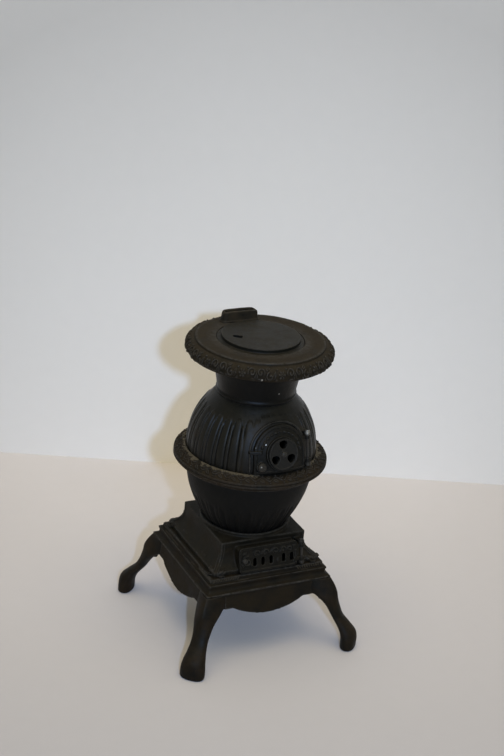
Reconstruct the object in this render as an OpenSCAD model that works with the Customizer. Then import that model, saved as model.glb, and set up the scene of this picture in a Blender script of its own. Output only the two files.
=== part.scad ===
// Small cast-iron potbelly stove on four splayed legs.
// Millimetres. The floor is z = 0, the stove's own axis is the Z axis, and both doors face -Y.

/* [Base and legs] */
// Height of the moulded lip above the floor
leg_h = 80.5; // [70:0.5:95]
// Half width of the base across its lip
base_half = 74.5; // [72:0.5:80]
// Height of the moulded base
base_h = 17; // [14:0.5:20]
// Half width of the top slab of the base
slab_half = 66.5; // [65:0.5:69]
// Height of the top slab
slab_h = 5.5; // [4:0.5:7]
// Thickness of the base over its cored underside
base_wall = 4.5; // [3:0.5:6]
// Drop of the apron at its middle
apron_drop = 29; // [24:1:34]
// Drop of the apron beside the legs
apron_side_drop = 17.5; // [14:0.5:20]
// Half width of the apron's hanging lobe
apron_lobe_half = 42; // [34:1:46]
// Thickness of the apron
apron_t = 3.6; // [2.5:0.1:5]
// Outward lean of the apron in degrees
apron_lean = 7; // [0:1:10]
// Distance of a foot's middle from the stove's axis
foot_reach = 135; // [126:1:144]
// Half width of a foot pad
pad_half_w = 11.5; // [9:0.5:14]
// Half length of a foot pad
pad_half_l = 8.4; // [7:0.2:10]
// Half width of an ankle
ankle_half_w = 7.2; // [5.5:0.1:9]
// Half width of a knee
knee_half_w = 14; // [11:0.5:16]

/* [Ash box] */
// Half width of the ash box at its foot
box_foot_half = 62; // [59:0.5:64]
// Half width of the ash box at its top
box_top_half = 50; // [49:0.5:54]
// Height of the ash box
box_h = 32.5; // [29:0.5:37]
// Radius of the hollow sweep of its sides
cove_r = 21; // [18:0.5:23]
// Straight height above the sweep
cove_drop = 9; // [7:0.5:12]
// Wall of the ash box
box_wall = 4.5; // [3.5:0.5:6]
// Radius of the hole that ash falls through
ash_hole_r = 33; // [26:0.5:34]
// Height of the round seat that holds the pot
seat_h = 4; // [3:0.5:6]
// Wall of the round seat
seat_wall = 3; // [2:0.5:4]

/* [Ash door] */
// Half width of the ash door
ash_door_half = 34.5; // [30:0.5:36]
// Height of the ash door
ash_door_h = 28; // [24:0.5:28.5]
// Backward lean of the ash door in degrees
ash_tilt = 12; // [8:1:14]
// Height of the ash door's middle above the base
ash_door_up = 14.8; // [14.4:0.2:15.4]
// Width of the lap of a door over its mouth
door_lap = 3.5; // [2.5:0.5:5]
// Pitch of the draught slots
slot_pitch = 9.7; // [8:0.1:11]
// Space between the two groups of slots
slot_space = 15.1; // [12:0.1:17]
// Width of a draught slot
slot_w = 4.2; // [3:0.1:5]
// Length of a draught slot
slot_l = 9.5; // [6:0.5:11]
// Distance of the ash door's hinge pin from the stove's middle plane
ash_hinge_x = 40; // [39:0.5:43]
// Height of the ash door's hinge pin off its frame
ash_hinge_n = 3.5; // [3.4:0.1:5]

/* [Fire pot] */
// Radius of the pot at its rim
pot_r = 68.7; // [67:0.1:69.5]
// Height of the pot
pot_h = 70; // [62:1:76]
// Radius of the pot's swelling side, seen from the side
pot_arc = 116; // [110:1:130]
// Height of the pot's widest place over its rim
pot_over = 3.3; // [1:0.1:5]
// Wall of the pot
pot_wall = 4; // [3:0.5:5]
// Thickness of the flanges and lugs that are bolted
flange_t = 4; // [3:0.5:5]
// Height of the grate's ledge above the pot's foot
grate_up = 10; // [8:0.5:14]
// Thickness of the grate
grate_t = 4; // [3:0.5:5]
// Width of a slot in the grate
grate_slot = 3.6; // [2.5:0.1:4.5]
// Pitch of the slots in the grate
grate_pitch = 8; // [7:0.5:10]

/* [Waist ring] */
// Radius of the arc of the ring's ornamented top, seen from the side
ring_arc = 16; // [14:0.5:20]
// Rise of that arc above the ring's foot
ring_h = 15.6; // [14:0.2:17]
// Radius of the ring at its edge
ring_r = 81.6; // [80:0.2:83]
// Height of the ring's seat for the upper body
ring_seat_h = 9; // [8:0.5:10]
// Radius of the bead along the ring's edge
ring_bead = 1.6; // [1:0.1:2]

/* [Upper body] */
// Largest radius of the upper body
dome_r = 70.2; // [69:0.1:72]
// Height of the upper body
dome_h = 72; // [66:0.5:78]
// Radius of the body's side, seen from the side
dome_arc = 80.7; // [79:0.1:84]
// Height of the widest place above the ring's seat
dome_belly = 10.3; // [8:0.1:12]
// Wall of the upper body
dome_wall = 4; // [3:0.5:5]

/* [Feed door] */
// Height of the feed door's middle above the ring's seat
feed_up = 30; // [27:0.5:32]
// Radius of the feed door's arch
feed_door_r = 29.5; // [27:0.5:30]
// Drop of the feed door below its middle
feed_door_drop = 20; // [17:0.5:21]
// Thickness of the feed door
feed_door_t = 3; // [2.5:0.1:3.4]
// Width of the raised arch round the feed door
feed_bead_w = 3; // [2:0.5:4]
// Height of the raised arch round the feed door
feed_bead_h = 2; // [1:0.1:2.4]
// Distance of the feed door's hinge pin from the stove's middle plane
feed_hinge_x = 34; // [33.5:0.5:36]
// Depth of the feed door's hinge pin behind the door's own plane
feed_hinge_n = 5; // [4:0.1:6]

/* [Draught wheel] */
// Radius of the draught wheel
wheel_r = 16.5; // [14:0.5:18]
// Thickness of the draught wheel
wheel_t = 2.2; // [1.6:0.1:3]
// Outer radius of the air holes
air_r = 14.6; // [12:0.2:15]
// Inner radius of the air holes
air_in_r = 5.6; // [4.6:0.2:7]
// Angle of each air hole in degrees
air_angle = 50; // [30:1:60]
// Radius of the wheel's rivet
rivet_r = 2; // [1.5:0.1:2.5]

/* [Neck and top] */
// Height of the neck
neck_h = 50; // [44:0.5:56]
// Radius of the neck's sweep, seen from the side
neck_arc = 285; // [240:5:320]
// Depth of the sweep's narrowest place below the neck's foot
neck_waist = 37; // [30:1:44]
// Wall of the neck
neck_wall = 3.5; // [3:0.5:4]
// Radius of the top plate
plate_r = 78; // [76:0.5:82]
// Thickness of the top plate at the lid's seat
plate_h = 10; // [9:0.5:12]
// Radius of the rounded band along the plate's rim
rim_round = 8.6; // [7:0.2:9]
// Step between the flat top and the rounded band
rim_step = 2.4; // [1.5:0.1:3]
// Height of the whole rim
rim_h = 18; // [16:0.5:18.5]
// Wall of the rim
rim_wall = 3.4; // [2.6:0.1:4]
// Radius of the lid
lid_r = 46.2; // [44:0.2:47]
// Radius of the lid's raised disc
lid_disc_r = 41.8; // [39:0.2:42]
// Height of the raised disc above the top plate
lid_rise = 3.6; // [2:0.2:5]
// Width of the ledge that carries the lid
lid_ledge = 6; // [4:0.5:7]
// Length of the lifter's pocket
lifter_l = 11; // [8:0.5:13]
// Width of the lifter's pocket
lifter_w = 7.5; // [6:0.5:9]
// Depth of the lifter's pocket
lifter_d = 3.4; // [2:0.2:3.6]
// Length of the flue collar
flue_l = 41; // [36:1:44]
// Depth of the flue collar, front to back
flue_w = 11; // [10:0.5:13]
// Height of the flue collar
flue_h = 11.5; // [8:0.5:20]
// Wall of the flue collar
flue_wall = 2.4; // [1.8:0.1:2.8]

/* [Hinges, bolts and fits] */
// Radius of a hinge pin
pin_r = 1.5; // [1.2:0.1:1.8]
// Radius of a hinge knuckle
knuckle_r = 3; // [2.8:0.1:3.3]
// Length of a hinge knuckle
knuckle_l = 4; // [3:0.2:4.6]
// Radius of a bolt's shank
bolt_r = 1.6; // [1.3:0.1:1.9]
// Clearance of a pin in its knuckle
pin_fit = 0.06; // [0.03:0.01:0.1]
// Gap between castings that lift or swing apart
gap = 0.4; // [0.3:0.05:0.6]

/* [Hidden] */
$fn = 96;

// Colours of the castings
iron = "#302f2d";
warm_iron = "#3a352b";
worn_iron = "#55524c";

// Heights, from the floor up
base_z1 = leg_h + base_h;
box_z1 = base_z1 + box_h;
pot_z1 = box_z1 + pot_h;
seat_z = pot_z1 + ring_seat_h;
dome_z1 = seat_z + dome_h;
neck_z1 = dome_z1 + neck_h;
plate_z1 = neck_z1 + plate_h;

// Meridian arcs: each is a circle whose centre is at radius _rc and height _zc
pot_zc = pot_z1 + pot_over;
pot_rc = pot_r - pot_arc;
dome_zc = seat_z + dome_belly;
dome_rc = dome_r - dome_arc;
function arc_r(rc, zc, arc, z) = rc + sqrt(arc * arc - (z - zc) * (z - zc));
function pot_r_at(z, off = 0) = arc_r(pot_rc, pot_zc, pot_arc + off, z);
function dome_r_at(z, off = 0) = arc_r(dome_rc, dome_zc, dome_arc + off, z);

dome_top_r = dome_r_at(dome_z1);
neck_zc = dome_z1 - neck_waist;
neck_r = dome_top_r - 2.5;
function neck_r_at(z, off = 0) =
    neck_r + neck_arc - sqrt(pow(neck_arc + off, 2) - (z - neck_zc) * (z - neck_zc));
neck_top_r = neck_r_at(neck_z1);
neck_flange_t = 4;
neck_foot_t = 4.5;

recess_r = lid_r + gap;
lid_seat_z = plate_z1 - 5.7;
flue_y = recess_r + 1.4 + flue_w / 2;
neck_mouth_r = flue_y + flue_w / 2 - 0.8;
neck_flange_r = neck_mouth_r + 8;
neck_bell_h = 10;
rim_rc = plate_r - rim_round;
rim_zc = plate_z1 - rim_step - rim_round;

corner_r = base_half * sqrt(2);
base_cove = 4.5;
cavity_half = min(slab_half - base_wall, base_half - 0.8 - base_cove - 2.5);
slab_z0 = base_z1 - slab_h;
apron_y = base_half - 1.8;
apron_end = base_half - 22;

// The feed door lies square to the body's side at its own middle
feed_z = seat_z + feed_up;
feed_tilt = asin((feed_z - dome_zc) / dome_arc);
feed_y = dome_rc + dome_arc * cos(feed_tilt);
feed_mouth_r = feed_door_r - door_lap;
feed_mouth_drop = feed_door_drop - door_lap;
feed_bead_r = feed_door_r + 0.9;
boss_n = feed_door_t + gap + 0.9;
wheel_n = boss_n + 0.3;

ash_z = base_z1 + ash_door_up;
ash_y = box_foot_half - 1.4;
ash_door_t = 3;
ash_frame_d = ash_y - box_top_half + 5.4;
ash_mouth_half = ash_door_half - door_lap;
ash_mouth_h = ash_door_h - 2.2 * door_lap;
slot_mid = 3.5;
slot_places = concat(
    [for (i = [0:2]) slot_mid - i * slot_pitch],
    [for (i = [0:1]) slot_mid + slot_space + i * slot_pitch]
);
slot_up = -3.5;

// Radii of the bolt circles, and the bolts' angles, clear of the doors
bolt_angles = [90, 210, 330];
pot_bolt_r = ash_hole_r + 5;
waist_bolt_r = dome_r - 11.5;
neck_bolt_r = dome_top_r - 9;
top_screw_r = neck_mouth_r + 4.4;
top_screw_angles = [45, 135, 225, 315];
lug_r = 4.6;
head_r = 2.9;
head_h = 2.2;
nut_h = 2.6;
hole_fit = 0.1;
leg_screw_d = corner_r - 29.4;
strap_half = 7;
strap_t = 8;
box_screw_x = box_foot_half - 10;
box_screw_y = 25;
boss_r = 5;
boss_h = 8;
feed_knob = [-22.5, -12.4];
knob_seat_n = 0.4;
eps = 0.01;

// ---------- shared shapes ----------

// A revolved wall between two arcs with one centre
module revolved_band(rc, zc, r_in, r_out, z0, z1) {
    rotate_extrude() intersection() {
        translate([rc, zc]) difference() {
            circle(r_out);
            circle(r_in);
        }
        translate([0, z0]) square([2 * dome_r, z1 - z0]);
    }
}

module dome_band(off0, off1, z0 = seat_z, z1 = dome_z1) {
    revolved_band(dome_rc, dome_zc, dome_arc + off0, dome_arc + off1, z0, z1);
}

module ring(r_in, r_out, z0, z1) {
    translate([0, 0, z0]) difference() {
        cylinder(r = r_out, h = z1 - z0);
        translate([0, 0, -1]) cylinder(r = r_in, h = z1 - z0 + 2);
    }
}

// A square casting whose four sides follow one outline, mitred at the corners
module square_form(half) {
    intersection() {
        rotate([90, 0, 0]) translate([0, 0, -half]) linear_extrude(2 * half) children();
        rotate([90, 0, 90]) translate([0, 0, -half]) linear_extrude(2 * half) children();
    }
}

module rounded_rect(w, h, r) {
    square([w - 2 * r, h], center = true);
    square([w, h - 2 * r], center = true);
    for (x = [-1, 1], y = [-1, 1])
        translate([x * (w / 2 - r), y * (h / 2 - r)]) circle(r);
}

// A slot with round ends, along X
module slot(l, w) {
    square([l - w, w], center = true);
    for (x = [-1, 1]) translate([x * (l - w) / 2, 0]) circle(w / 2);
}

module arch(r, drop) {
    intersection() {
        circle(r);
        translate([-r, -drop]) square([2 * r, r + drop]);
    }
    translate([-r, -drop]) square([2 * r, drop]);
}

// Frames that lie on the doors: X to the right, Y up the door, Z out of the door
module on_feed() {
    translate([0, -feed_y, feed_z]) rotate([90 - feed_tilt, 0, 0]) children();
}

module on_ash() {
    translate([0, -ash_y, ash_z]) rotate([90 - ash_tilt, 0, 0]) children();
}

// A rod along a hinge's axis, between two places on it
module along_hinge(x, n, r, a, b) {
    translate([x, a, n]) rotate([-90, 0, 0]) cylinder(r = r, h = b - a);
}

module hinge_pin(x, n, reach) {
    along_hinge(x, n, pin_r, -reach - 0.8, reach);
    along_hinge(x, n, pin_r + 1, reach, reach + 1.4);
}

module bolt_places(r, angles = bolt_angles) {
    for (a = angles) rotate(a) translate([r, 0, 0]) children();
}

// A round-headed bolt whose head stands on z = 0 and whose shank hangs below
module bolt(l) {
    translate([0, 0, -l]) cylinder(r = bolt_r, h = l + eps);
    difference() {
        intersection() {
            cylinder(r = head_r, h = head_h);
            translate([0, 0, head_h - 3.4]) sphere(3.4);
        }
        translate([-head_r, -0.35, head_h - 0.8]) cube([2 * head_r, 0.7, 1]);
    }
}

module nut() {
    difference() {
        cylinder(r = head_r + 0.3, h = nut_h, $fn = 6);
        translate([0, 0, -1]) cylinder(r = bolt_r + hole_fit, h = nut_h + 2, $fn = 48);
    }
}

module bolt_hole(z0, z1) {
    translate([0, 0, z0]) cylinder(r = bolt_r + hole_fit, h = z1 - z0);
}

// ---------- base and legs ----------

module base_outline() {
    lip_h = 2;
    translate([-base_half, leg_h]) square([2 * base_half, lip_h]);
    difference() {
        translate([-base_half + 0.8, leg_h]) square([2 * base_half - 1.6, slab_z0 - leg_h]);
        for (s = [-1, 1]) translate([s * (base_half - 0.8), leg_h + lip_h + base_cove])
            circle(base_cove);
        for (s = [-1, 1]) translate([s * (base_half + 2), slab_z0 + 2])
            square([13, 2 * (slab_z0 - leg_h - lip_h - base_cove + 2)], center = true);
    }
    translate([-slab_half, slab_z0 - 1]) square([2 * slab_half, slab_h + 1]);
    for (s = [-1, 1]) translate([s * (slab_half - 0.2), slab_z0 - 1.2]) circle(1.6);
}

module apron_outline() {
    lobe_sag = apron_drop - apron_side_drop;
    lobe_r = (apron_lobe_half * apron_lobe_half + lobe_sag * lobe_sag) / (2 * lobe_sag);
    translate([-apron_end, -apron_side_drop]) square([2 * apron_end, apron_side_drop + 3]);
    intersection() {
        translate([0, lobe_r - apron_drop]) circle(lobe_r);
        translate([-apron_end + 1, -apron_drop - 1]) square([2 * apron_end - 2, apron_drop]);
    }
}

module apron_plane(side) {
    rotate(side * 90) translate([0, -apron_y, leg_h]) rotate([90 - apron_lean, 0, 0])
        translate([0, 0, -apron_t]) children();
}

module base_plate() {
    color(warm_iron) difference() {
        union() {
            difference() {
                square_form(base_half) base_outline();
                translate([-cavity_half, -cavity_half, leg_h - 1])
                    cube([2 * cavity_half, 2 * cavity_half, base_h - base_wall + 1]);
            }
            for (side = [0:3]) apron_plane(side) linear_extrude(apron_t) apron_outline();
        }
        for (a = [45:90:315]) rotate(a) translate([leg_screw_d, 0, 0])
            bolt_hole(base_z1 - base_wall - 1, base_z1 + 1);
        for (x = [-1, 1], y = [-1, 1]) translate([x * box_screw_x, y * box_screw_y, 0])
            bolt_hole(base_z1 - base_wall - 1, base_z1 + 1);
    }
}

// Level sections of a leg, from the floor up:
// [height, distance from the axis, outer reach, inner reach, half width, roundness]
leg_stations = [
    [0, foot_reach - 1.6, pad_half_l - 1.1, pad_half_l - 1.2, pad_half_w - 1.2, 2.3],
    [3.5, foot_reach - 1.6, pad_half_l, pad_half_l, pad_half_w, 2.3],
    [12, foot_reach - 2.6, pad_half_l + 1.2, pad_half_l, pad_half_w, 2.1],
    [20, foot_reach - 5.6, pad_half_l + 2.6, pad_half_l, pad_half_w - 1.6, 2],
    [27, foot_reach - 10.4, pad_half_l + 1, pad_half_l - 1.2, ankle_half_w + 1.2, 2],
    [36.5, foot_reach - 18, pad_half_l - 1, pad_half_l - 1.6, ankle_half_w, 2],
    [48, foot_reach - 25, pad_half_l + 0.6, pad_half_l - 1.8, ankle_half_w + 1.3, 1.9],
    [57, corner_r - 3.4, pad_half_l + 6.2, pad_half_l - 1.8, ankle_half_w + 3.8, 1.7],
    [64.5, corner_r - 13, pad_half_l + 14.3, pad_half_l - 1.4, knee_half_w - 0.4, 1.45],
    [72, corner_r - 15.7, pad_half_l + 13.2, pad_half_l - 2.4, knee_half_w, 1.3],
    [leg_h - 0.3, corner_r - 16.6, pad_half_l + 8.4, pad_half_l - 2.4, knee_half_w - 0.4, 1.15]
];
leg_steps = 3;
leg_points = 24;

// Smooth value between stations i and i + 1, at t from 0 to 1
function blend(a, b, c, d, t) = b + 0.5 * t * (c - a + t * (2 * a - 5 * b + 4 * c - d
    + t * (3 * (b - c) + d - a)));
function station(i) = leg_stations[max(0, min(len(leg_stations) - 1, i))];
function leg_level(i, t) = [for (k = [0:5])
    blend(station(i - 1)[k], station(i)[k], station(i + 1)[k], station(i + 2)[k], t)];
function power(v, n) = sign(v) * pow(abs(v), 2 / n);
function leg_ring(s) = [for (k = [0:leg_points - 1]) let (a = 360 * k / leg_points)
    [s[1] + (cos(a) > 0 ? s[2] : s[3]) * power(cos(a), s[5]), s[4] * power(sin(a), s[5]), s[0]]];

module leg_shape() {
    last = len(leg_stations) - 1;
    levels = concat([for (i = [0:last - 1], j = [0:leg_steps - 1]) leg_level(i, j / leg_steps)],
        [station(last)]);
    n = leg_points;
    m = len(levels);
    polyhedron(
        points = [for (s = levels) each leg_ring(s)],
        faces = concat(
            [[for (k = [0:n - 1]) k]],
            [for (i = [0:m - 2], k = [0:n - 1])
                [i * n + k, (i + 1) * n + k, (i + 1) * n + (k + 1) % n, i * n + (k + 1) % n]],
            [[for (k = [0:n - 1]) m * n - 1 - k]]
        )
    );
}

module leg(angle) {
    strap_start = leg_screw_d - 8;
    strap_end = cavity_half * sqrt(2) - strap_half - 0.7;
    color(warm_iron) rotate(angle) difference() {
        union() {
            leg_shape();
            // Strap that reaches under the base and is screwed to it
            translate([strap_start, -strap_half, leg_h - strap_t])
                cube([corner_r - 7 - strap_start, 2 * strap_half, strap_t - 0.3]);
            translate([strap_start, -strap_half, leg_h - strap_t])
                cube([strap_end - strap_start, 2 * strap_half, base_h - base_wall + strap_t - 0.05]);
            // Wings that carry the aprons on round the corner
            for (s = [-1, 1]) rotate(-s * 45) translate([apron_y, s * (apron_end + 0.3), leg_h])
                rotate([0, -apron_lean, 0]) translate([-apron_t, s > 0 ? 0 : -14, -apron_side_drop])
                    cube([apron_t, 14, apron_side_drop - 0.6]);
        }
        translate([leg_screw_d, 0, 0]) bolt_hole(leg_h - strap_t - 2, base_z1);
    }
}

module leg_front_left() leg(225);
module leg_front_right() leg(315);
module leg_rear_left() leg(135);
module leg_rear_right() leg(45);

module leg_screws() {
    color(worn_iron) for (a = [45:90:315]) rotate(a) translate([leg_screw_d, 0, leg_h - strap_t])
        rotate([180, 0, 0]) bolt(base_h + strap_t - 0.6);
}

// ---------- ash box ----------

module box_outline(wall, z0, z1) {
    zc = box_z1 - cove_drop;
    difference() {
        translate([-box_foot_half + wall, z0]) square([2 * (box_foot_half - wall), z1 - z0]);
        for (s = [-1, 1]) {
            translate([s * (box_top_half + cove_r), zc]) circle(cove_r + wall);
            translate([s * (box_top_half - wall + 20), zc + 20]) square([40, 40], center = true);
        }
    }
}

module box_cavity() {
    square_form(box_foot_half) box_outline(box_wall, base_z1 - 1, box_z1 - box_wall);
}

module ash_lugs(r) {
    reach = ash_door_h / 2 - 1;
    for (s = [-1, 1]) along_hinge(ash_hinge_x, ash_hinge_n, r,
        s > 0 ? reach - knuckle_l + 0.4 : -reach, s > 0 ? reach : -reach + knuckle_l - 0.4);
}

module ash_box() {
    seat_r = pot_r_at(box_z1 + seat_h) + 0.6;
    reach = ash_door_h / 2 - 1;
    color(iron) difference() {
        union() {
            difference() {
                square_form(box_foot_half) box_outline(0, base_z1, box_z1);
                box_cavity();
            }
            ring(seat_r, seat_r + seat_wall, box_z1 - 1, box_z1 + seat_h);
            // Frame of the ash door's mouth, and the lugs of its hinge
            difference() {
                union() {
                    on_ash() translate([0, 0, -ash_frame_d]) linear_extrude(ash_frame_d)
                        rounded_rect(2 * ash_door_half - 1, ash_door_h - 1, 3);
                    on_ash() ash_lugs(knuckle_r);
                    for (s = [-1, 1]) on_ash()
                        translate([ash_hinge_x - knuckle_r, s > 0 ? reach - knuckle_l + 0.4 : -reach,
                            ash_hinge_n - ash_frame_d])
                            cube([2 * knuckle_r, knuckle_l - 0.4, ash_frame_d]);
                }
                box_cavity();
                translate([-100, -100, base_z1 - 10]) cube([200, 200, 10]);
            }
            for (x = [-1, 1], y = [-1, 1]) translate([x * box_screw_x, y * box_screw_y, base_z1]) {
                cylinder(r = boss_r, h = boss_h);
                translate([x * 3.2, 0, boss_h / 2]) cube([6.4, 2 * boss_r, boss_h], center = true);
            }
        }
        translate([0, 0, box_z1 - 2 * box_wall]) cylinder(r = ash_hole_r, h = 3 * box_wall);
        on_ash() translate([0, 0, -40]) linear_extrude(60)
            rounded_rect(2 * ash_mouth_half, ash_mouth_h, 2);
        on_ash() along_hinge(ash_hinge_x, ash_hinge_n, pin_r + pin_fit, -20, 20);
        bolt_places(pot_bolt_r) bolt_hole(box_z1 - 2 * box_wall, box_z1 + 1);
        for (x = [-1, 1], y = [-1, 1]) translate([x * box_screw_x, y * box_screw_y, 0])
            bolt_hole(base_z1 - 1, base_z1 + 6.6);
    }
}

module box_screws() {
    color(worn_iron) for (x = [-1, 1], y = [-1, 1])
        translate([x * box_screw_x, y * box_screw_y, base_z1 - base_wall])
            rotate([180, 0, 0]) bolt(base_wall + 6);
}

// ---------- ash door ----------

module ash_door() {
    reach = ash_door_h / 2 - 1;
    k0 = reach - 2 * knuckle_l + 0.2;
    k1 = reach - knuckle_l + 0.2;
    color(iron) on_ash() difference() {
        union() {
            translate([0, 0, 0.3]) linear_extrude(ash_door_t)
                rounded_rect(2 * ash_door_half, ash_door_h, 4);
            // Raised border
            translate([0, 0, ash_door_t]) linear_extrude(1.2) difference() {
                rounded_rect(2 * ash_door_half, ash_door_h, 4);
                rounded_rect(2 * ash_door_half - 5, ash_door_h - 5, 2);
            }
            for (s = [-1, 1]) {
                along_hinge(ash_hinge_x, ash_hinge_n, knuckle_r, s > 0 ? k0 : -k1, s > 0 ? k1 : -k0);
                translate([ash_door_half - 5, s > 0 ? k0 : -k1, 0.6])
                    cube([ash_hinge_x - ash_door_half + 5, k1 - k0, knuckle_r + 0.6]);
            }
        }
        for (x = slot_places) translate([x, slot_up, -1]) rotate(90)
            linear_extrude(10) slot(slot_l, slot_w);
        along_hinge(ash_hinge_x, ash_hinge_n, pin_r + pin_fit, -20, 20);
        translate([-ash_door_half + 6, 0, -1]) cylinder(r = 1.3 + hole_fit, h = 10);
    }
}

module ash_door_pin() {
    color(worn_iron) on_ash() hinge_pin(ash_hinge_x, ash_hinge_n, ash_door_h / 2 - 1);
}

// A turned knob on a riveted shank, standing on z = 0
module knob(r, h, shank_r, shank_l) {
    translate([0, 0, -shank_l]) cylinder(r = shank_r, h = shank_l + eps);
    rotate_extrude() intersection() {
        union() {
            square([r * 0.62, h]);
            translate([0, h - r * 0.55]) scale([1, 0.55]) circle(r);
            square([r * 0.85, 0.8]);
        }
        square([r, h]);
    }
}

module ash_door_knob() {
    color(worn_iron) on_ash() translate([-ash_door_half + 6, 0, ash_door_t + 0.3])
        knob(2.8, 4.4, 1.3, ash_door_t - 0.2);
}

// ---------- fire pot and grate ----------

// A lug inside a round wall, drilled for a bolt later
module wall_lug(r, r_wall, z0, z1) {
    translate([0, 0, z0]) intersection() {
        union() {
            translate([r, 0, 0]) cylinder(r = lug_r, h = z1 - z0);
            translate([r, -lug_r, 0]) cube([40, 2 * lug_r, z1 - z0]);
        }
        cylinder(r = r_wall, h = z1 - z0);
    }
}

module fire_pot() {
    ledge_z = box_z1 + grate_up;
    color(iron) difference() {
        union() {
            revolved_band(pot_rc, pot_zc, pot_arc - pot_wall, pot_arc, box_z1, pot_z1);
            ring(ash_hole_r, pot_r_at(box_z1) - 1, box_z1, box_z1 + flange_t);
            ring(pot_r_at(ledge_z, -pot_wall) - 5, pot_r_at(ledge_z, -pot_wall) + 1, ledge_z - 3,
                ledge_z);
            for (a = bolt_angles) rotate(a)
                wall_lug(waist_bolt_r, pot_r_at(pot_z1 - flange_t) - 1, pot_z1 - flange_t, pot_z1);
        }
        bolt_places(pot_bolt_r) bolt_hole(box_z1 - 1, box_z1 + flange_t + 1);
        bolt_places(waist_bolt_r) bolt_hole(pot_z1 - flange_t - 1, pot_z1 + 1);
    }
}

module grate() {
    r = pot_r_at(box_z1 + grate_up, -pot_wall) - 0.6;
    color(iron) translate([0, 0, box_z1 + grate_up]) linear_extrude(grate_t) difference() {
        circle(r);
        for (i = [-4:4]) {
            half = r * r - pow(abs(i) * grate_pitch + grate_slot, 2);
            if (half > 400) translate([0, i * grate_pitch]) slot(2 * sqrt(half) - 10, grate_slot);
        }
    }
}

module pot_bolts() {
    color(worn_iron) bolt_places(pot_bolt_r) translate([0, 0, box_z1 + flange_t])
        bolt(flange_t + box_wall + nut_h + 0.8);
}

// ---------- waist ring ----------

module waist_ring() {
    seat_r = dome_r + 0.5;
    foot_r = ring_r - 4;
    color(warm_iron) difference() {
        rotate_extrude() difference() {
            union() {
                translate([waist_bolt_r - lug_r, pot_z1])
                    square([seat_r + 1 - waist_bolt_r + lug_r, ring_seat_h]);
                intersection() {
                    translate([dome_r - 0.5, pot_z1 + ring_h - ring_arc]) circle(ring_arc);
                    translate([seat_r, pot_z1]) square([ring_r - seat_r, 2 * ring_arc]);
                }
                translate([ring_r, pot_z1 + 9.2]) circle(ring_bead - 0.4);
                translate([ring_r - 0.2, pot_z1 + 6]) circle(ring_bead);
            }
            // Underside, sloped up to the edge and cored beside the pot
            polygon([[foot_r, pot_z1 - 1], [ring_r + 3, pot_z1 - 1], [ring_r + 3, pot_z1 + 5],
                [foot_r, pot_z1 + 1]]);
            translate([pot_r + 2.5, pot_z1 - 1]) square([5, 6]);
        }
        bolt_places(waist_bolt_r) bolt_hole(pot_z1 - 1, seat_z + 1);
    }
}

module waist_bolts() {
    color(worn_iron) bolt_places(waist_bolt_r) translate([0, 0, seat_z + flange_t])
        bolt(2 * flange_t + ring_seat_h + nut_h + 0.8);
}

// ---------- upper body ----------

module feed_arms(x0, x1) {
    reach = feed_door_drop - 2;
    for (s = [-1, 1]) translate([x0, s > 0 ? reach - 2 * knuckle_l : -reach + knuckle_l, -20])
        cube([x1 - x0, knuckle_l, 30]);
}

module feed_lugs() {
    reach = feed_door_drop - 2;
    for (s = [-1, 1]) {
        a = s > 0 ? reach - knuckle_l + 0.3 : -reach;
        along_hinge(feed_hinge_x, -feed_hinge_n, knuckle_r, a, a + knuckle_l - 0.3);
        translate([feed_hinge_x - knuckle_r, a, -feed_hinge_n - 7])
            cube([2 * knuckle_r, knuckle_l - 0.3, 7]);
    }
}

module body_shell() {
    color(iron) difference() {
        union() {
            dome_band(-dome_wall, 0);
            // Raised arch round the feed door, open where the door's hinge arms cross it
            intersection() {
                dome_band(-1, feed_bead_h);
                on_feed() difference() {
                    linear_extrude(60, center = true)
                        arch(feed_bead_r + feed_bead_w, feed_door_drop + 1);
                    translate([0, 0, -40]) linear_extrude(80) arch(feed_bead_r, feed_door_drop + 2);
                    translate([feed_hinge_x - 12, -feed_door_drop + 2 - 0.4, -20])
                        cube([20, 2 * feed_door_drop - 4 - knuckle_l + 0.4, 40]);
                }
            }
            on_feed() feed_lugs();
            for (a = bolt_angles) rotate(a) {
                wall_lug(waist_bolt_r, dome_r - 1.5, seat_z, seat_z + flange_t);
                wall_lug(neck_bolt_r, dome_top_r - 1.5, dome_z1 - flange_t, dome_z1);
            }
        }
        on_feed() linear_extrude(60, center = true) arch(feed_mouth_r, feed_mouth_drop);
        on_feed() along_hinge(feed_hinge_x, -feed_hinge_n, pin_r + pin_fit, -30, 30);
        bolt_places(waist_bolt_r) bolt_hole(seat_z - 1, seat_z + flange_t + 1);
        bolt_places(neck_bolt_r) bolt_hole(dome_z1 - flange_t - 1, dome_z1 + 1);
    }
}

// ---------- feed door and draught wheel ----------

module air_holes() {
    for (a = [90, 210, 330]) rotate(a) intersection() {
        difference() {
            circle(air_r);
            circle(air_in_r);
        }
        polygon([[0, 0], [30, 30 * tan(air_angle / 2)], [30, -30 * tan(air_angle / 2)]]);
    }
}

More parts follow.
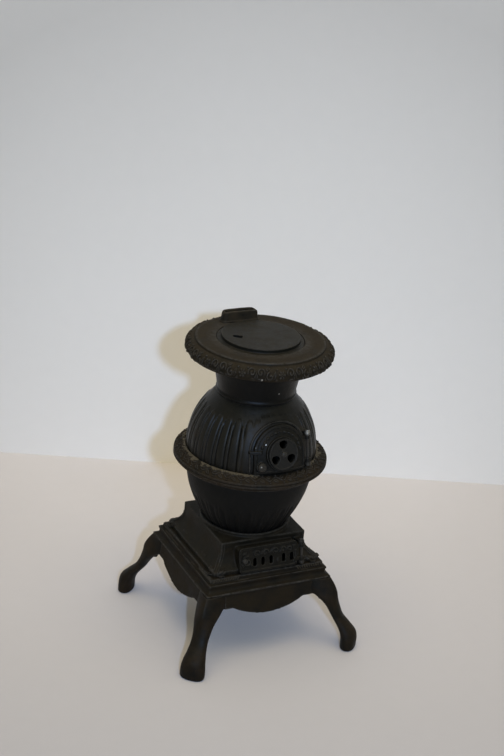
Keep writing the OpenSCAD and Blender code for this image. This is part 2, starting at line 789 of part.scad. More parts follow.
module feed_door() {
    reach = feed_door_drop - 2;
    t0 = gap;
    t1 = gap + feed_door_t;
    color(iron) difference() {
        union() {
            intersection() {
                dome_band(t0, t1);
                on_feed() linear_extrude(60, center = true) arch(feed_door_r, feed_door_drop);
            }
            // Raised mouldings that follow the arch
            intersection() {
                dome_band(t1 - 1, t1 + 1);
                on_feed() linear_extrude(60, center = true) difference() {
                    arch(feed_door_r, feed_door_drop);
                    arch(feed_door_r - 2.4, feed_door_drop - 2.4);
                }
            }
            // Flat boss under the draught wheel, and seat of the knob
            on_feed() translate([0, 0, t0 + 0.2]) cylinder(r = wheel_r + 1.4, h = boss_n - t0 - 0.2);
            on_feed() translate([feed_knob[0], feed_knob[1], knob_seat_n - 3.6])
                cylinder(r = 5.4, h = 3.6);
            // Hinge arms and knuckles
            intersection() {
                dome_band(t0, t1);
                on_feed() feed_arms(feed_door_r - 12, feed_hinge_x - 2.2);
            }
            for (s = [-1, 1]) on_feed() {
                a = s > 0 ? reach - 2 * knuckle_l : -reach + knuckle_l;
                along_hinge(feed_hinge_x, -feed_hinge_n, knuckle_r, a, a + knuckle_l);
            }
            // Finger tab at the free edge
            intersection() {
                dome_band(feed_bead_h + 0.6, feed_bead_h + 4.2);
                on_feed() translate([-feed_door_r - 5, 1.8, -20]) cube([11.5, 3.2, 40]);
            }
        }
        on_feed() translate([0, 0, -20]) linear_extrude(40) air_holes();
        on_feed() translate([0, 0, -20]) cylinder(r = rivet_r + 0.02, h = 40);
        on_feed() translate([feed_knob[0], feed_knob[1], -20]) cylinder(r = 1.6 + hole_fit, h = 40);
        on_feed() along_hinge(feed_hinge_x, -feed_hinge_n, pin_r + pin_fit, -30, 30);
    }
}

module feed_door_pin() {
    color(worn_iron) on_feed() hinge_pin(feed_hinge_x, -feed_hinge_n, feed_door_drop - 2);
}

module feed_door_knob() {
    color(worn_iron) on_feed() translate([feed_knob[0], feed_knob[1], knob_seat_n])
        knob(4.8, 4.6, 1.6, 3.4);
}

module draught_wheel() {
    color(iron) on_feed() translate([0, 0, wheel_n]) difference() {
        union() {
            cylinder(r = wheel_r, h = wheel_t);
            translate([0, 0, wheel_t - eps]) difference() {
                cylinder(r = wheel_r, h = 0.8);
                translate([0, 0, -1]) cylinder(r = wheel_r - 1.4, h = 3);
            }
            cylinder(r = rivet_r + 2.2, h = wheel_t + 1);
        }
        translate([0, 0, -5]) linear_extrude(10) air_holes();
        translate([0, 0, -5]) cylinder(r = rivet_r + pin_fit, h = 10);
    }
}

module wheel_rivet() {
    top_n = wheel_n + wheel_t + 1.3;
    color(worn_iron) on_feed() {
        translate([0, 0, gap - 0.4]) cylinder(r = rivet_r, h = top_n - gap + 0.4);
        translate([0, 0, gap - 0.1 - 1.5]) cylinder(r = rivet_r + 1.4, h = 1.5);
        translate([0, 0, top_n]) intersection() {
            cylinder(r = rivet_r + 1.4, h = 1.6);
            translate([0, 0, 1.6 - 4]) sphere(4);
        }
    }
}

// ---------- neck ----------

// The neck's side is an arc whose centre lies outside it, opening into a bell under the plate
module neck_side(off) {
    bell_z = neck_z1 - neck_bell_h;
    difference() {
        translate([0, dome_z1 - 1]) square([neck_top_r + 4, neck_h + 2]);
        translate([neck_r + neck_arc, neck_zc]) circle(neck_arc + off);
    }
    polygon([[0, bell_z], [neck_r_at(bell_z, off), bell_z], [neck_mouth_r - off * 1.2, neck_z1 + 1 + off],
        [0, neck_z1 + 1 + off]]);
}

module neck() {
    color(iron) difference() {
        union() {
            rotate_extrude() difference() {
                union() {
                    intersection() {
                        neck_side(0);
                        translate([0, dome_z1]) square([neck_flange_r, neck_h]);
                    }
                    translate([dome_top_r - 8, dome_z1]) square([8, neck_foot_t]);
                    translate([dome_top_r - 0.6, dome_z1 + 2.4]) circle(2.4);
                    translate([neck_top_r, neck_z1 - neck_flange_t])
                        square([neck_flange_r - neck_top_r, neck_flange_t]);
                }
                neck_side(neck_wall);
            }
            for (a = bolt_angles) rotate(a)
                wall_lug(neck_bolt_r, dome_top_r - 2, dome_z1, dome_z1 + flange_t);
        }
        bolt_places(neck_bolt_r) bolt_hole(dome_z1 - 1, dome_z1 + flange_t + 1);
        bolt_places(top_screw_r, top_screw_angles)
            bolt_hole(neck_z1 - neck_flange_t - 1, neck_z1 + 1);
    }
}

module neck_bolts() {
    color(worn_iron) bolt_places(neck_bolt_r) translate([0, 0, dome_z1 + flange_t])
        bolt(2 * flange_t + nut_h + 0.8);
}

module bolt_nuts() {
    color(worn_iron) {
        bolt_places(pot_bolt_r) translate([0, 0, box_z1 - box_wall - nut_h]) nut();
        bolt_places(waist_bolt_r) translate([0, 0, pot_z1 - flange_t - nut_h]) nut();
        bolt_places(neck_bolt_r) translate([0, 0, dome_z1 - flange_t - nut_h]) nut();
    }
}

// ---------- top plate, lid and flue collar ----------

module flue_outline(grow) {
    rounded_rect(flue_l + 2 * grow, flue_w + 2 * grow, (flue_w + 2 * grow) / 2 - 1);
}

// The rim is a half-round band, hollow underneath
module rim_profile() {
    intersection() {
        translate([rim_rc, rim_zc]) difference() {
            circle(rim_round);
            circle(rim_round - rim_wall);
        }
        union() {
            translate([rim_rc - 1, rim_zc]) square([rim_round + 2, rim_round + 1]);
            translate([rim_rc + 2.5, plate_z1 - rim_h]) square([rim_round, rim_h]);
        }
    }
}

module top_plate() {
    ledge_r = recess_r - lid_ledge - gap;
    web_z = plate_z1 - 6;
    color(warm_iron) difference() {
        rotate_extrude() difference() {
            union() {
                translate([ledge_r, web_z]) square([rim_rc - 0.6 - ledge_r, plate_z1 - web_z]);
                translate([ledge_r, neck_z1]) square([neck_flange_r - ledge_r, plate_h]);
                rim_profile();
            }
            translate([ledge_r - 1, lid_seat_z]) square([recess_r - ledge_r + 1, 20]);
        }
        translate([0, flue_y, neck_z1 - 1]) linear_extrude(plate_h + 2)
            flue_outline(0.8 - flue_wall);
        bolt_places(top_screw_r, top_screw_angles) bolt_hole(neck_z1 - 1, neck_z1 + 6);
    }
}

module top_screws() {
    color(worn_iron) bolt_places(top_screw_r, top_screw_angles)
        translate([0, 0, neck_z1 - neck_flange_t]) rotate([180, 0, 0]) bolt(neck_flange_t + 5.4);
}

module flue_collar() {
    color(iron) translate([0, flue_y, plate_z1]) difference() {
        union() {
            linear_extrude(flue_h) flue_outline(0);
            linear_extrude(1.6) flue_outline(0.8);
            translate([0, 0, -5]) linear_extrude(6) flue_outline(-flue_wall + 0.8 - 0.15);
        }
        translate([0, 0, -6]) linear_extrude(flue_h + 8) flue_outline(-flue_wall - 0.6);
    }
}

module lid() {
    flange_top = plate_z1 - 0.5;
    pocket = [-26, 2];
    color(warm_iron) translate([0, 0, lid_seat_z]) difference() {
        union() {
            cylinder(r = lid_r, h = flange_top - lid_seat_z);
            cylinder(r = lid_disc_r, h = plate_z1 + lid_rise - lid_seat_z);
        }
        difference() {
            translate([0, 0, -1]) cylinder(r = lid_r - lid_ledge - 3, h = 5.7);
            translate([pocket[0], pocket[1], 1]) cylinder(r = 8, h = 10);
        }
        translate([pocket[0], pocket[1], plate_z1 + lid_rise - lid_seat_z - lifter_d])
            rotate(-41) linear_extrude(10) slot(lifter_l, lifter_w);
    }
}

base_plate();
leg_front_left();
leg_front_right();
leg_rear_left();
leg_rear_right();
leg_screws();
ash_box();
box_screws();
ash_door();
ash_door_pin();
ash_door_knob();
fire_pot();
grate();
pot_bolts();
waist_ring();
waist_bolts();
body_shell();
feed_door();
feed_door_pin();
feed_door_knob();
draught_wheel();
wheel_rivet();
neck();
neck_bolts();
bolt_nuts();
top_plate();
top_screws();
flue_collar();
lid();
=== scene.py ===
from math import asin, copysign, cos, degrees, dist, exp, hypot, pi, radians, sin, sqrt

import bmesh
import bpy
import numpy as np
from mathutils import Matrix, Vector, noise
from mathutils.bvhtree import BVHTree


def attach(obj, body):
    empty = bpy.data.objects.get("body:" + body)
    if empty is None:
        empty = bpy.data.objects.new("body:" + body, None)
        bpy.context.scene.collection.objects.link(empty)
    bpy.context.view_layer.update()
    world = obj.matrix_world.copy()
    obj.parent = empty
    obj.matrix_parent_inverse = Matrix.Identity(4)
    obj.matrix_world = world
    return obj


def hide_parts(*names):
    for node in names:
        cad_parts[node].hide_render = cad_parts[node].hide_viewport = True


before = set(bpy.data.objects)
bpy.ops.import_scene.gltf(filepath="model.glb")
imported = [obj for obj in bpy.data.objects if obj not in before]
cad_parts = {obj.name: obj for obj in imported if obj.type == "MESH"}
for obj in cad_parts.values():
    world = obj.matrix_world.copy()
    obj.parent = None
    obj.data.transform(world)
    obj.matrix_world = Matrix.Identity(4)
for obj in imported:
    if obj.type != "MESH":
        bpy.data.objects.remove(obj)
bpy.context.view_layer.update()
bpy.context.scene.view_settings.view_transform = "Standard"

# ---------- the table, the wall, the light and the camera ----------
# The stove stands on a pale table in front of a plain wall. One small cool lamp near the
# camera throws its shadow on the wall, and a broad warm lamp hangs over the table.

mm = 0.001


def shown(name, data):
    made = bpy.data.objects.new(name, data)
    bpy.context.scene.collection.objects.link(made)
    return made


def smooth(piece, crisp=None):
    """Smooth shading. Edges sharper than crisp degrees stay crisp."""
    piece.data.polygons.foreach_set("use_smooth", [True] * len(piece.data.polygons))
    if crisp:
        piece.data.set_sharp_from_angle(angle=radians(crisp))
    return piece


def made_of(name, points, faces):
    """A mesh object from points in millimetres."""
    mesh = bpy.data.meshes.new(name)
    mesh.from_pydata((np.asarray(points, float) * mm).tolist(), [], [list(f) for f in faces])
    return smooth(shown(name, mesh), 40)


def feed(node, feeds):
    """A value or a socket for each of a node's inputs."""
    for name, value in feeds.items():
        if isinstance(value, bpy.types.NodeSocket):
            node.id_data.links.new(value, node.inputs[name])
        else:
            node.inputs[name].default_value = value
    return node


def put(tree, kind, feeds=None, **settings):
    """A new node with its settings and its inputs."""
    node = tree.nodes.new(kind)
    for name, value in settings.items():
        setattr(node, name, value)
    return feed(node, feeds or {})


def sums(tree, operation, *values, clamp=False):
    return put(tree, "ShaderNodeMath", dict(enumerate(values)), operation=operation,
               use_clamp=clamp).outputs[0]


def ramp(tree, value, low, high, to_low=0.0, to_high=1.0):
    """to_low where the value is at low, to_high where it is at high, and held beyond both."""
    return put(tree, "ShaderNodeMapRange", {"Value": value, "From Min": low, "From Max": high,
                                            "To Min": to_low, "To Max": to_high}).outputs[0]


def cloud(tree, place, scale, detail, rough=0.5):
    return put(tree, "ShaderNodeTexNoise", {"Vector": place, "Scale": scale, "Detail": detail,
                                            "Roughness": rough}).outputs[0]


def scaled(tree, colour, by):
    return put(tree, "ShaderNodeVectorMath", {0: colour, "Scale": by},
               operation="SCALE").outputs[0]


def distance(tree, place, middle):
    return put(tree, "ShaderNodeVectorMath", {0: place, 1: middle},
               operation="DISTANCE").outputs["Value"]


def fresh_material(name):
    """An empty material and its node tree, with a Principled surface."""
    material = bpy.data.materials.new(name)
    material.use_nodes = True
    tree = material.node_tree
    tree.nodes.clear()
    surface = put(tree, "ShaderNodeBsdfPrincipled")
    put(tree, "ShaderNodeOutputMaterial", {"Surface": surface.outputs[0]})
    return material, tree, surface


def pale_board(name, colour, middle, start, end, painted_falloff, see_through_back):
    """Smooth matt board, faintly uneven, with painted light falloff: greyer by a share from start
    to end metres away from its brightest place."""
    material, tree, surface = fresh_material(name)
    where = put(tree, "ShaderNodeNewGeometry")
    place = where.outputs["Position"]
    mottled = sums(tree, "MULTIPLY",
                   ramp(tree, cloud(tree, place, 1.6, 3.0), 0.0, 1.0, 0.96, 1.04),
                   ramp(tree, cloud(tree, place, 60.0, 2.0), 0.0, 1.0, 0.988, 1.012))
    tone_and_painted_falloff = sums(tree, "MULTIPLY", mottled,
                ramp(tree, distance(tree, place, middle), start, end, 1.0, 1 - painted_falloff))
    feed(surface, {"Base Color": scaled(tree, colour, tone_and_painted_falloff), "Roughness": 0.75,
                   "Specular IOR Level": 0.25})
    if see_through_back:
        clear = put(tree, "ShaderNodeBsdfTransparent")
        sides = put(tree, "ShaderNodeMixShader", {0: where.outputs["Backfacing"],
                                                  1: surface.outputs[0], 2: clear.outputs[0]})
        feed(tree.nodes["Material Output"], {"Surface": sides.outputs[0]})
    return material


wall_normal, along_wall = Vector((-0.4131, -0.9107, 0)), Vector((0.9107, -0.4131, 0))
wall_distance, wall_half, table_half = 376.0, 3500.0, 3500.0
wall_top = Vector((0, 0, 2600.0))

# Table and wall both carry painted light falloff: their colour greys away from a bright middle
# point.
table = made_of("table_top", [(x * table_half, y * table_half, 0) for x, y in
                              ((-1, -1), (1, -1), (1, 1), (-1, 1))], [(0, 1, 2, 3)])
table.data.materials.append(pale_board("table_board", (0.735, 0.704, 0.712), (0.17, 0.39, 0.0),
                                       0.27, 0.75, 0.27, False))
foot_of_wall = -wall_normal * wall_distance
corners = [foot_of_wall - along_wall * wall_half, foot_of_wall + along_wall * wall_half]
wall = made_of("wall", corners + [corners[1] + wall_top, corners[0] + wall_top], [(0, 1, 2, 3)])
wall.data.materials.append(pale_board("wall_paint", (0.955, 0.93, 0.905), (-0.03, -0.15, 0.03),
                                      0.56, 0.81, 0.35, True))


def soft_lamp(name, place, aim, size, power, colour):
    lamp = bpy.data.lights.new(name, "AREA")
    lamp.shape = "DISK"
    lamp.size, lamp.energy, lamp.color = size, power, colour
    made = shown(name, lamp)
    made.location = place
    made.rotation_euler = (Vector(aim) - Vector(place)).to_track_quat("-Z", "Y").to_euler()


soft_lamp("cool_lamp", (-0.81, -2.0, 1.252), (0, 0, 0.2), 0.07, 26.0, (0.42, 0.62, 1.0))
soft_lamp("overhead_lamp", (-0.15, -0.3, 2.3), (0, 0, 0.15), 2.0, 20.0, (1.0, 0.84, 0.60))

sky = bpy.data.worlds.new("room_light")
sky.use_nodes = True
bpy.context.scene.world = sky
air = sky.node_tree
air.nodes.clear()
seen = put(air, "ShaderNodeLightPath")
room = put(air, "ShaderNodeBackground", {"Color": (1.0, 0.955, 0.70, 1), "Strength": 0.43})
pale = put(air, "ShaderNodeBackground", {"Color": (0.60, 0.60, 0.60, 1), "Strength": 1.0})
either = put(air, "ShaderNodeMixShader", {0: seen.outputs["Is Camera Ray"], 1: room.outputs[0],
                                          2: pale.outputs[0]})
put(air, "ShaderNodeOutputWorld", {"Surface": either.outputs[0]})

turn, rise, roll = radians(-27.831), radians(23.262), radians(5.282)
focal_pixels, picture_pixels, sensor_width = 1580, 756, 36
back = Vector((sin(turn) * cos(rise), -cos(turn) * cos(rise), sin(rise)))
right = Vector((cos(turn), sin(turn), 0))
level = back.cross(right)
lens = bpy.data.cameras.new("camera")
lens.sensor_width = sensor_width
lens.lens = focal_pixels / picture_pixels * sensor_width
lens.clip_start, lens.clip_end = 0.05, 20
camera = shown("camera", lens)
camera.matrix_world = Matrix.Translation((-0.72194, -1.35617, 0.95508)) @ Matrix(
    (right * cos(roll) + level * sin(roll), level * cos(roll) - right * sin(roll),
     back)).transposed().to_4x4()
bpy.context.scene.camera = camera

# ---------- base plate ----------
# A square grey-iron casting: a lip, a cove and a slab, with four aprons hanging under the lip.
# It is cored underneath, blacked long ago, and worn to brown on its upper edges.


def copy_of(node, name):
    """A copy of a solid from the frame, with its loose triangles joined up."""
    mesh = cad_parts[node].data.copy()
    mesh.materials.clear()
    shape = bmesh.new()
    shape.from_mesh(mesh)
    bmesh.ops.remove_doubles(shape, verts=shape.verts, dist=2e-6)
    shape.to_mesh(mesh)
    shape.free()
    for extra in [a.name for a in mesh.attributes if a.name.startswith("custom")]:
        mesh.attributes.remove(mesh.attributes[extra])
    return shown(name, mesh)


def settle(piece):
    """What the modifiers make of a piece becomes its own mesh."""
    bpy.context.view_layer.update()
    graph = bpy.context.evaluated_depsgraph_get()
    mesh = bpy.data.meshes.new_from_object(piece.evaluated_get(graph))
    piece.modifiers.clear()
    piece.data = mesh
    return piece


def cast_in_sand(piece, grain, passes=2):
    """Melts a piece's solids into one skin of that grain in millimetres, with softened edges."""
    melt = piece.modifiers.new("melt", "REMESH")
    melt.mode = "VOXEL"
    melt.voxel_size = grain * mm
    ease = piece.modifiers.new("ease", "SMOOTH")
    ease.factor, ease.iterations = 0.5, passes
    return smooth(settle(piece))


def places_of(piece):
    co = np.empty(len(piece.data.vertices) * 3)
    piece.data.vertices.foreach_get("co", co)
    return co.reshape(-1, 3) / mm


def place_at(piece, places):
    piece.data.vertices.foreach_set("co", (places * mm).ravel())


def uneven(piece, depth, size, seed):
    """Lets a casting wander by depth, in swells of that size, as hand-moulded iron does."""
    places = places_of(piece)
    normals = np.empty(len(places) * 3)
    piece.data.vertices.foreach_get("normal", normals)
    shift_by = Vector((seed * 7.3, seed * 3.1, seed * 5.7))
    swell = np.array([noise.noise(Vector(p) / size + shift_by) for p in places])
    place_at(piece, places + normals.reshape(-1, 3) * (swell * depth)[:, None])
    piece.data.update()
    return piece


def joined(piece, *others):
    """Other meshes become part of a piece's own mesh."""
    shape = bmesh.new()
    shape.from_mesh(piece.data)
    for other in others:
        shape.from_mesh(other.data)
        bpy.data.objects.remove(other)
    shape.to_mesh(piece.data)
    shape.free()
    return piece


def mark(piece, label, values, kind="FLOAT"):
    """Stores a number, or a vector, for each point of a piece."""
    spot = piece.data.attributes.new(label, kind, "POINT")
    spot.data.foreach_set("value" if kind == "FLOAT" else "vector",
                          np.asarray(values, float).ravel())


def node_group(kind, name, takes, gives):
    """A fresh shader or geometry group. Each input has its kind or its start value. Returns the
    group, its input sockets in order, and its output node."""
    group = bpy.data.node_groups.new(name, kind + "NodeTree")
    for label, value in takes.items():
        socket = value if isinstance(value, str) else "Float"
        made = group.interface.new_socket(label, in_out="INPUT",
                                          socket_type="NodeSocket" + socket)
        if socket is not value:
            made.default_value = value
    out = "NodeSocketFloat" if kind == "Shader" else "NodeSocketGeometry"
    for label in gives:
        group.interface.new_socket(label, in_out="OUTPUT", socket_type=out)
    source = group.nodes.new("NodeGroupInput")
    return group, [source.outputs[label] for label in takes], group.nodes.new("NodeGroupOutput")


def sand_skin_group():
    """The pitted skin that moulding sand leaves: fine grain on broader lumps."""
    group, (place,), gives = node_group("Shader", "sand_skin", {"Place": "Vector"},
                                        ["Height", "Pits"])
    fine = cloud(group, place, 1400.0, 4.0, 0.6)
    cells = put(group, "ShaderNodeTexVoronoi", {"Vector": place, "Scale": 420.0,
                                                "Randomness": 1.0})
    lumps = sums(group, "MULTIPLY_ADD", cloud(group, place, 240.0, 3.0), 1.6, fine)
    holes = ramp(group, cells.outputs["Distance"], 0.05, 0.28)
    feed(gives, {"Height": sums(group, "MULTIPLY_ADD", holes, 0.35, lumps), "Pits": fine})
    return group


def old_patches_group():
    """Broad patches where the blacking has gone brown, broken up at their edges."""
    group, (place, amount), gives = node_group(
        "Shader", "old_patches", {"Place": "Vector", "Amount": 0.4}, ["Patch"])
    start = sums(group, "SUBTRACT", 0.86, amount)
    end = sums(group, "ADD", start, 0.22)
    feed(gives, {"Patch": ramp(group, cloud(group, place, 45.0, 8.0, 0.72), start, end)})
    return group


def settled_dust_group():
    """Dust lies where the iron faces up, thicker in some places than in others."""
    group, (place, facing, amount), gives = node_group(
        "Shader", "settled_dust", {"Place": "Vector", "Facing": "Vector", "Amount": 0.3},
        ["Dust"])
    up = put(group, "ShaderNodeSeparateXYZ", {0: facing}).outputs["Z"]
    lying = sums(group, "MULTIPLY", ramp(group, up, 0.15, 0.95),
                 ramp(group, cloud(group, place, 160.0, 6.0, 0.7), 0.32, 0.72))
    feed(gives, {"Dust": sums(group, "MULTIPLY", lying, amount, clamp=True)})
    return group


def rubbed_edges_group():
    """Handling rubs the blacking off edges and high places; the second output darkens concave
    places as painted shade.
    """
    group, (place, amount, reach), gives = node_group(
        "Shader", "rubbed_edges", {"Place": "Vector", "Amount": 0.5, "Reach": 0.06},
        ["Rub", "PaintedShade"])
    point = put(group, "ShaderNodeNewGeometry").outputs["Pointiness"]
    edge = ramp(group, point, 0.508, sums(group, "ADD", 0.508, reach))
    broken = ramp(group, cloud(group, place, 300.0, 5.0, 0.7), 0.36, 0.66)
    worn = sums(group, "MULTIPLY", edge, broken)
    feed(gives, {"Rub": sums(group, "MULTIPLY", worn, amount, clamp=True),
                 "PaintedShade": ramp(group, point, 0.492, 0.43)})
    return group


sand_skin, old_patches = sand_skin_group(), old_patches_group()
settled_dust, rubbed_edges = settled_dust_group(), rubbed_edges_group()
# The near-black colour for hollows is painted shade, laid where the surface turns concave.
dust_tan, painted_hollow_shade = (0.056, 0.048, 0.033, 1), (0.004, 0.0038, 0.0034, 1)
# The bright bare colour is metal on chips and also a painted highlight where glints stand.
rubbed_iron, bare_iron_glint = (0.060, 0.056, 0.050, 1), (0.40, 0.39, 0.37, 1)


def blended(tree, share, first, second, kind="RGBA"):
    """first where the share is 0 and second where it is 1, as colours or as numbers."""
    a, b, out = (6, 7, 2) if kind == "RGBA" else (2, 3, 0)
    return put(tree, "ShaderNodeMix", {0: share, a: first, b: second},
               data_type=kind).outputs[out]


def cast_iron(name, blacking, brown, patch, dust, rub, rough=0.52, relief=0.22, reach=0.06,
              gloss=0.14):
    """Blacked cast iron: blacking gone brown in patches, painted shade in hollows, dust on top,
    edges rubbed bare.
    """
    material, tree, surface = fresh_material(name)
    where = put(tree, "ShaderNodeTexCoord")

    def effect(group, **feeds):
        return put(tree, "ShaderNodeGroup", {"Place": where.outputs["Object"], **feeds},
                   node_tree=group).outputs

    skin, patches = effect(sand_skin), effect(old_patches, Amount=patch)["Patch"]
    lying = effect(settled_dust, Facing=where.outputs["Normal"], Amount=dust)["Dust"]
    edges = effect(rubbed_edges, Amount=rub, Reach=reach)
    ground = blended(tree, patches, (*blacking, 1), (*brown, 1))
    # Concave places are darkened towards near-black: painted shade.
    shaded = blended(tree, sums(tree, "MULTIPLY", edges["PaintedShade"], 0.7), ground, painted_hollow_shade)
    toned = scaled(tree, shaded, ramp(tree, skin["Pits"], 0.3, 0.7, 0.72, 1.3))
    dusty = blended(tree, lying, toned, dust_tan)
    rough_dust = sums(tree, "MULTIPLY_ADD", lying, 0.4, rough)
    bump = put(tree, "ShaderNodeBump", {"Height": skin["Height"], "Strength": relief,
                                        "Distance": 0.0006})
    feed(surface, {"Base Color": blended(tree, edges["Rub"], dusty, rubbed_iron),
                   "Roughness": sums(tree, "MULTIPLY_ADD", patches, 0.16, rough_dust, clamp=True),
                   "Metallic": sums(tree, "MULTIPLY", edges["Rub"], 0.6),
                   "Specular IOR Level": gloss, "Normal": bump.outputs[0]})
    return material


def chips_and_painted_glints(material, *spots):
    """Small chips where a knock has bared bright metal, painted bright enough to stand as glints
    (painted highlights); each a place and a radius in mm.
    """
    tree = material.node_tree
    surface = tree.nodes["Principled BSDF"]
    place = put(tree, "ShaderNodeTexCoord").outputs["Object"]
    ragged = cloud(tree, place, 1300.0, 5.0)
    bare = 0.0
    for x, y, z, radius in spots:
        far = distance(tree, place, (x * mm, y * mm, z * mm))
        reach = sums(tree, "MULTIPLY_ADD", ragged, radius * 1.6 * mm, far)
        bare = sums(tree, "MAXIMUM", bare,
                    ramp(tree, reach, radius * 1.75 * mm, radius * 1.35 * mm))
    for label, value, kind in (("Base Color", bare_iron_glint, "RGBA"), ("Metallic", 0.85, "FLOAT"),
                               ("Roughness", 0.34, "FLOAT")):
        before = surface.inputs[label].links[0].from_socket
        feed(surface, {label: blended(tree, bare, before, value, kind)})


def cake_dust(material, colour, size):
    """Thick dust over a cast-iron material, where the piece's own caked mask says so."""
    tree = material.node_tree
    surface = tree.nodes["Principled BSDF"]
    ground = surface.inputs["Base Color"].links[0].from_socket
    mask = put(tree, "ShaderNodeAttribute", attribute_name="caked").outputs["Fac"]
    fluff = cloud(tree, put(tree, "ShaderNodeTexCoord").outputs["Object"], size, 6.0, 0.7)
    tint = scaled(tree, colour, ramp(tree, fluff, 0.3, 0.7, 0.45, 1.5))
    feed(surface, {"Base Color": blended(tree, mask, ground, tint)})


def finished(piece, material, body, slot_name, *nodes):
    """Gives a piece its iron, and puts it in the place of its solids in the frame."""
    piece.data.materials.clear()
    piece.data.materials.append(material)
    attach(piece, body)
    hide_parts(*nodes)


def spin(angle, axis="Z"):
    return Matrix.Rotation(angle, 4, axis)


def shift(x, y, z):
    return Matrix.Translation((x, y, z))


def bar_of(name, points, around):
    """A bar from rings of points, each ring with that many points, and flat at both ends."""
    faces = [(i + k, i + (k + 1) % around, i + around + (k + 1) % around, i + around + k)
             for i in range(0, len(points) - around, around) for k in range(around)]
    return made_of(name, points, faces + [range(around - 1, -1, -1),
                                          range(len(points) - around, len(points))])


def drop_of_iron(name, length, width, height):
    """A low rounded bar that tapers to both ends, lying along X on z = 0."""
    points, rings, around = [], 6, 14
    for i in range(rings + 1):
        w = max(0.02, sin(pi * (i / rings))) ** 0.6
        for a in [2 * pi * k / around for k in range(around)]:
            points.append(((i / rings - 0.5) * length, cos(a) * width / 2 * w,
                           sin(a) * height * w))
    return bar_of(name, points, around)


def cast_out(tree, gives, geometry, iron):
    """Ends a geometry tree: real meshes, all of one iron."""
    real = put(tree, "GeometryNodeRealizeInstances", {0: geometry})
    made = put(tree, "GeometryNodeSetMaterial", {"Geometry": real.outputs[0], "Material": iron})
    feed(gives, {"Geometry": made.outputs[0]})
    return tree


def stored(tree, name, kind="FLOAT"):
    return put(tree, "GeometryNodeInputNamedAttribute", {"Name": name},
               data_type=kind).outputs[0]


def grow(piece, tree, **values):
    """Runs a geometry tree on a piece with its inputs set, and keeps the mesh that it makes."""
    step = piece.modifiers.new(tree.name, "NODES")
    step.node_group = tree
    for item in tree.interface.items_tree:
        if item.item_type == "SOCKET" and item.in_out == "INPUT" and item.name in values:
            step[item.identifier] = values[item.name]
    return smooth(settle(piece))


def row(name, casting, places, turns, sizes, iron):
    """One mesh of many copies of a small casting. places in millimetres, turns are Euler angles."""
    tree, (points, shape, material), gives = node_group(
        "Geometry", "row_of_castings",
        {"Geometry": "Geometry", "Casting": "Object", "Iron": "Material"}, ["Geometry"])
    copies = put(tree, "GeometryNodeInstanceOnPoints", {
        "Points": points,
        "Instance": put(tree, "GeometryNodeObjectInfo", {"Object": shape}).outputs["Geometry"],
        "Rotation": put(tree, "FunctionNodeEulerToRotation",
                        {0: stored(tree, "turned", "FLOAT_VECTOR")}).outputs[0],
        "Scale": stored(tree, "size", "FLOAT_VECTOR")})
    cast_out(tree, gives, copies.outputs[0], material)
    made = made_of(name, places, [])
    mark(made, "turned", turns, "FLOAT_VECTOR")
    mark(made, "size", sizes, "FLOAT_VECTOR")
    return grow(made, tree, Casting=casting, Iron=iron)


slab_half, slab_low, slab_top = 66.5, 92.4, 97.5
stroke_pitch, strokes_each_end = 2.8, 11
base_iron = cast_iron("base_iron", (0.0034, 0.0030, 0.0022), (0.0132, 0.0090, 0.0039), patch=0.5,
                      dust=0.12, rub=1.1, reach=0.035)
base = uneven(cast_in_sand(copy_of("base_plate", "base_casting"), 1.0), 0.35, 18, 1)
stroke = drop_of_iron("stroke", 6.2, 1.9, 1.3)
places, turns = [], []
for side in range(4):
    turned_side = spin(side * pi / 2)
    for end in (-1, 1):
        for i in range(strokes_each_end):
            x = end * (slab_half - 2.5 - i * stroke_pitch)
            places.append(turned_side @ Vector((x, -slab_half - 0.05, (slab_low + slab_top) / 2)))
            turns.append((turned_side @ spin(pi / 2, "X") @ spin(pi / 2 + end * 0.55)).to_euler())
strokes = row("edge_strokes", stroke, places, turns, [(0.9, 1, 1)] * len(places), base_iron)
bpy.data.objects.remove(stroke)
joined(base, strokes)
places = places_of(base)
proud = np.abs(places[:, :2]).max(1) - slab_half
caked = np.clip((proud - 0.3) / 0.5, 0, 1) * (places[:, 2] > slab_low) * (places[:, 2] < slab_top)
mark(base, "caked", caked * 0.8)
cake_dust(base_iron, (0.042, 0.034, 0.023), 500.0)
finished(base, base_iron, "stove", "warm_iron", "base_plate")

# ---------- four legs ----------
# Cabriole legs, each its own casting, screwed up under a corner of the base. A knee under the
# corner narrows to an ankle and turns out into a pad foot, and short wings meet the aprons.

leg_top, apron_plane_y, apron_top, apron_lean = 80.2, -72.7, 80.5, 83
# Height, distance from the axis, outer reach, inner reach, half width, roundness
leg_levels = [
    (0.0, 133.4, 7.3, 7.0, 12.1, 2.3), (1.2, 133.4, 8.3, 7.9, 13.1, 2.3),
    (3.5, 133.4, 8.4, 8.1, 13.6, 2.3), (12, 132.4, 9.5, 7.4, 13.6, 2.1),
    (20, 129.4, 10.6, 7.0, 12.1, 2.0), (27, 124.6, 9.0, 6.2, 10.5, 2.0),
    (36.5, 117, 6.9, 5.8, 9.3, 2.0), (48, 110, 8.3, 5.8, 10.6, 1.9),
    (57, 102, 13.9, 6.1, 12.9, 1.7), (64.5, 92.4, 22.4, 7.0, 14.9, 1.45),
    (72, 89.7, 21.6, 6.0, 14.7, 1.3), (leg_top, 88.8, 16.8, 6.0, 13.8, 1.15)]


def between(levels, i, t):
    """Smooth value between levels i and i + 1."""
    a, b, c, d = (np.array(levels[max(0, min(len(levels) - 1, k))]) for k in range(i - 1, i + 3))
    return b + 0.5 * t * (c - a + t * (2 * a - 5 * b + 4 * c - d + t * (3 * (b - c) + d - a)))


def rounded(value, power):
    return copysign(abs(value) ** (2 / power), value)


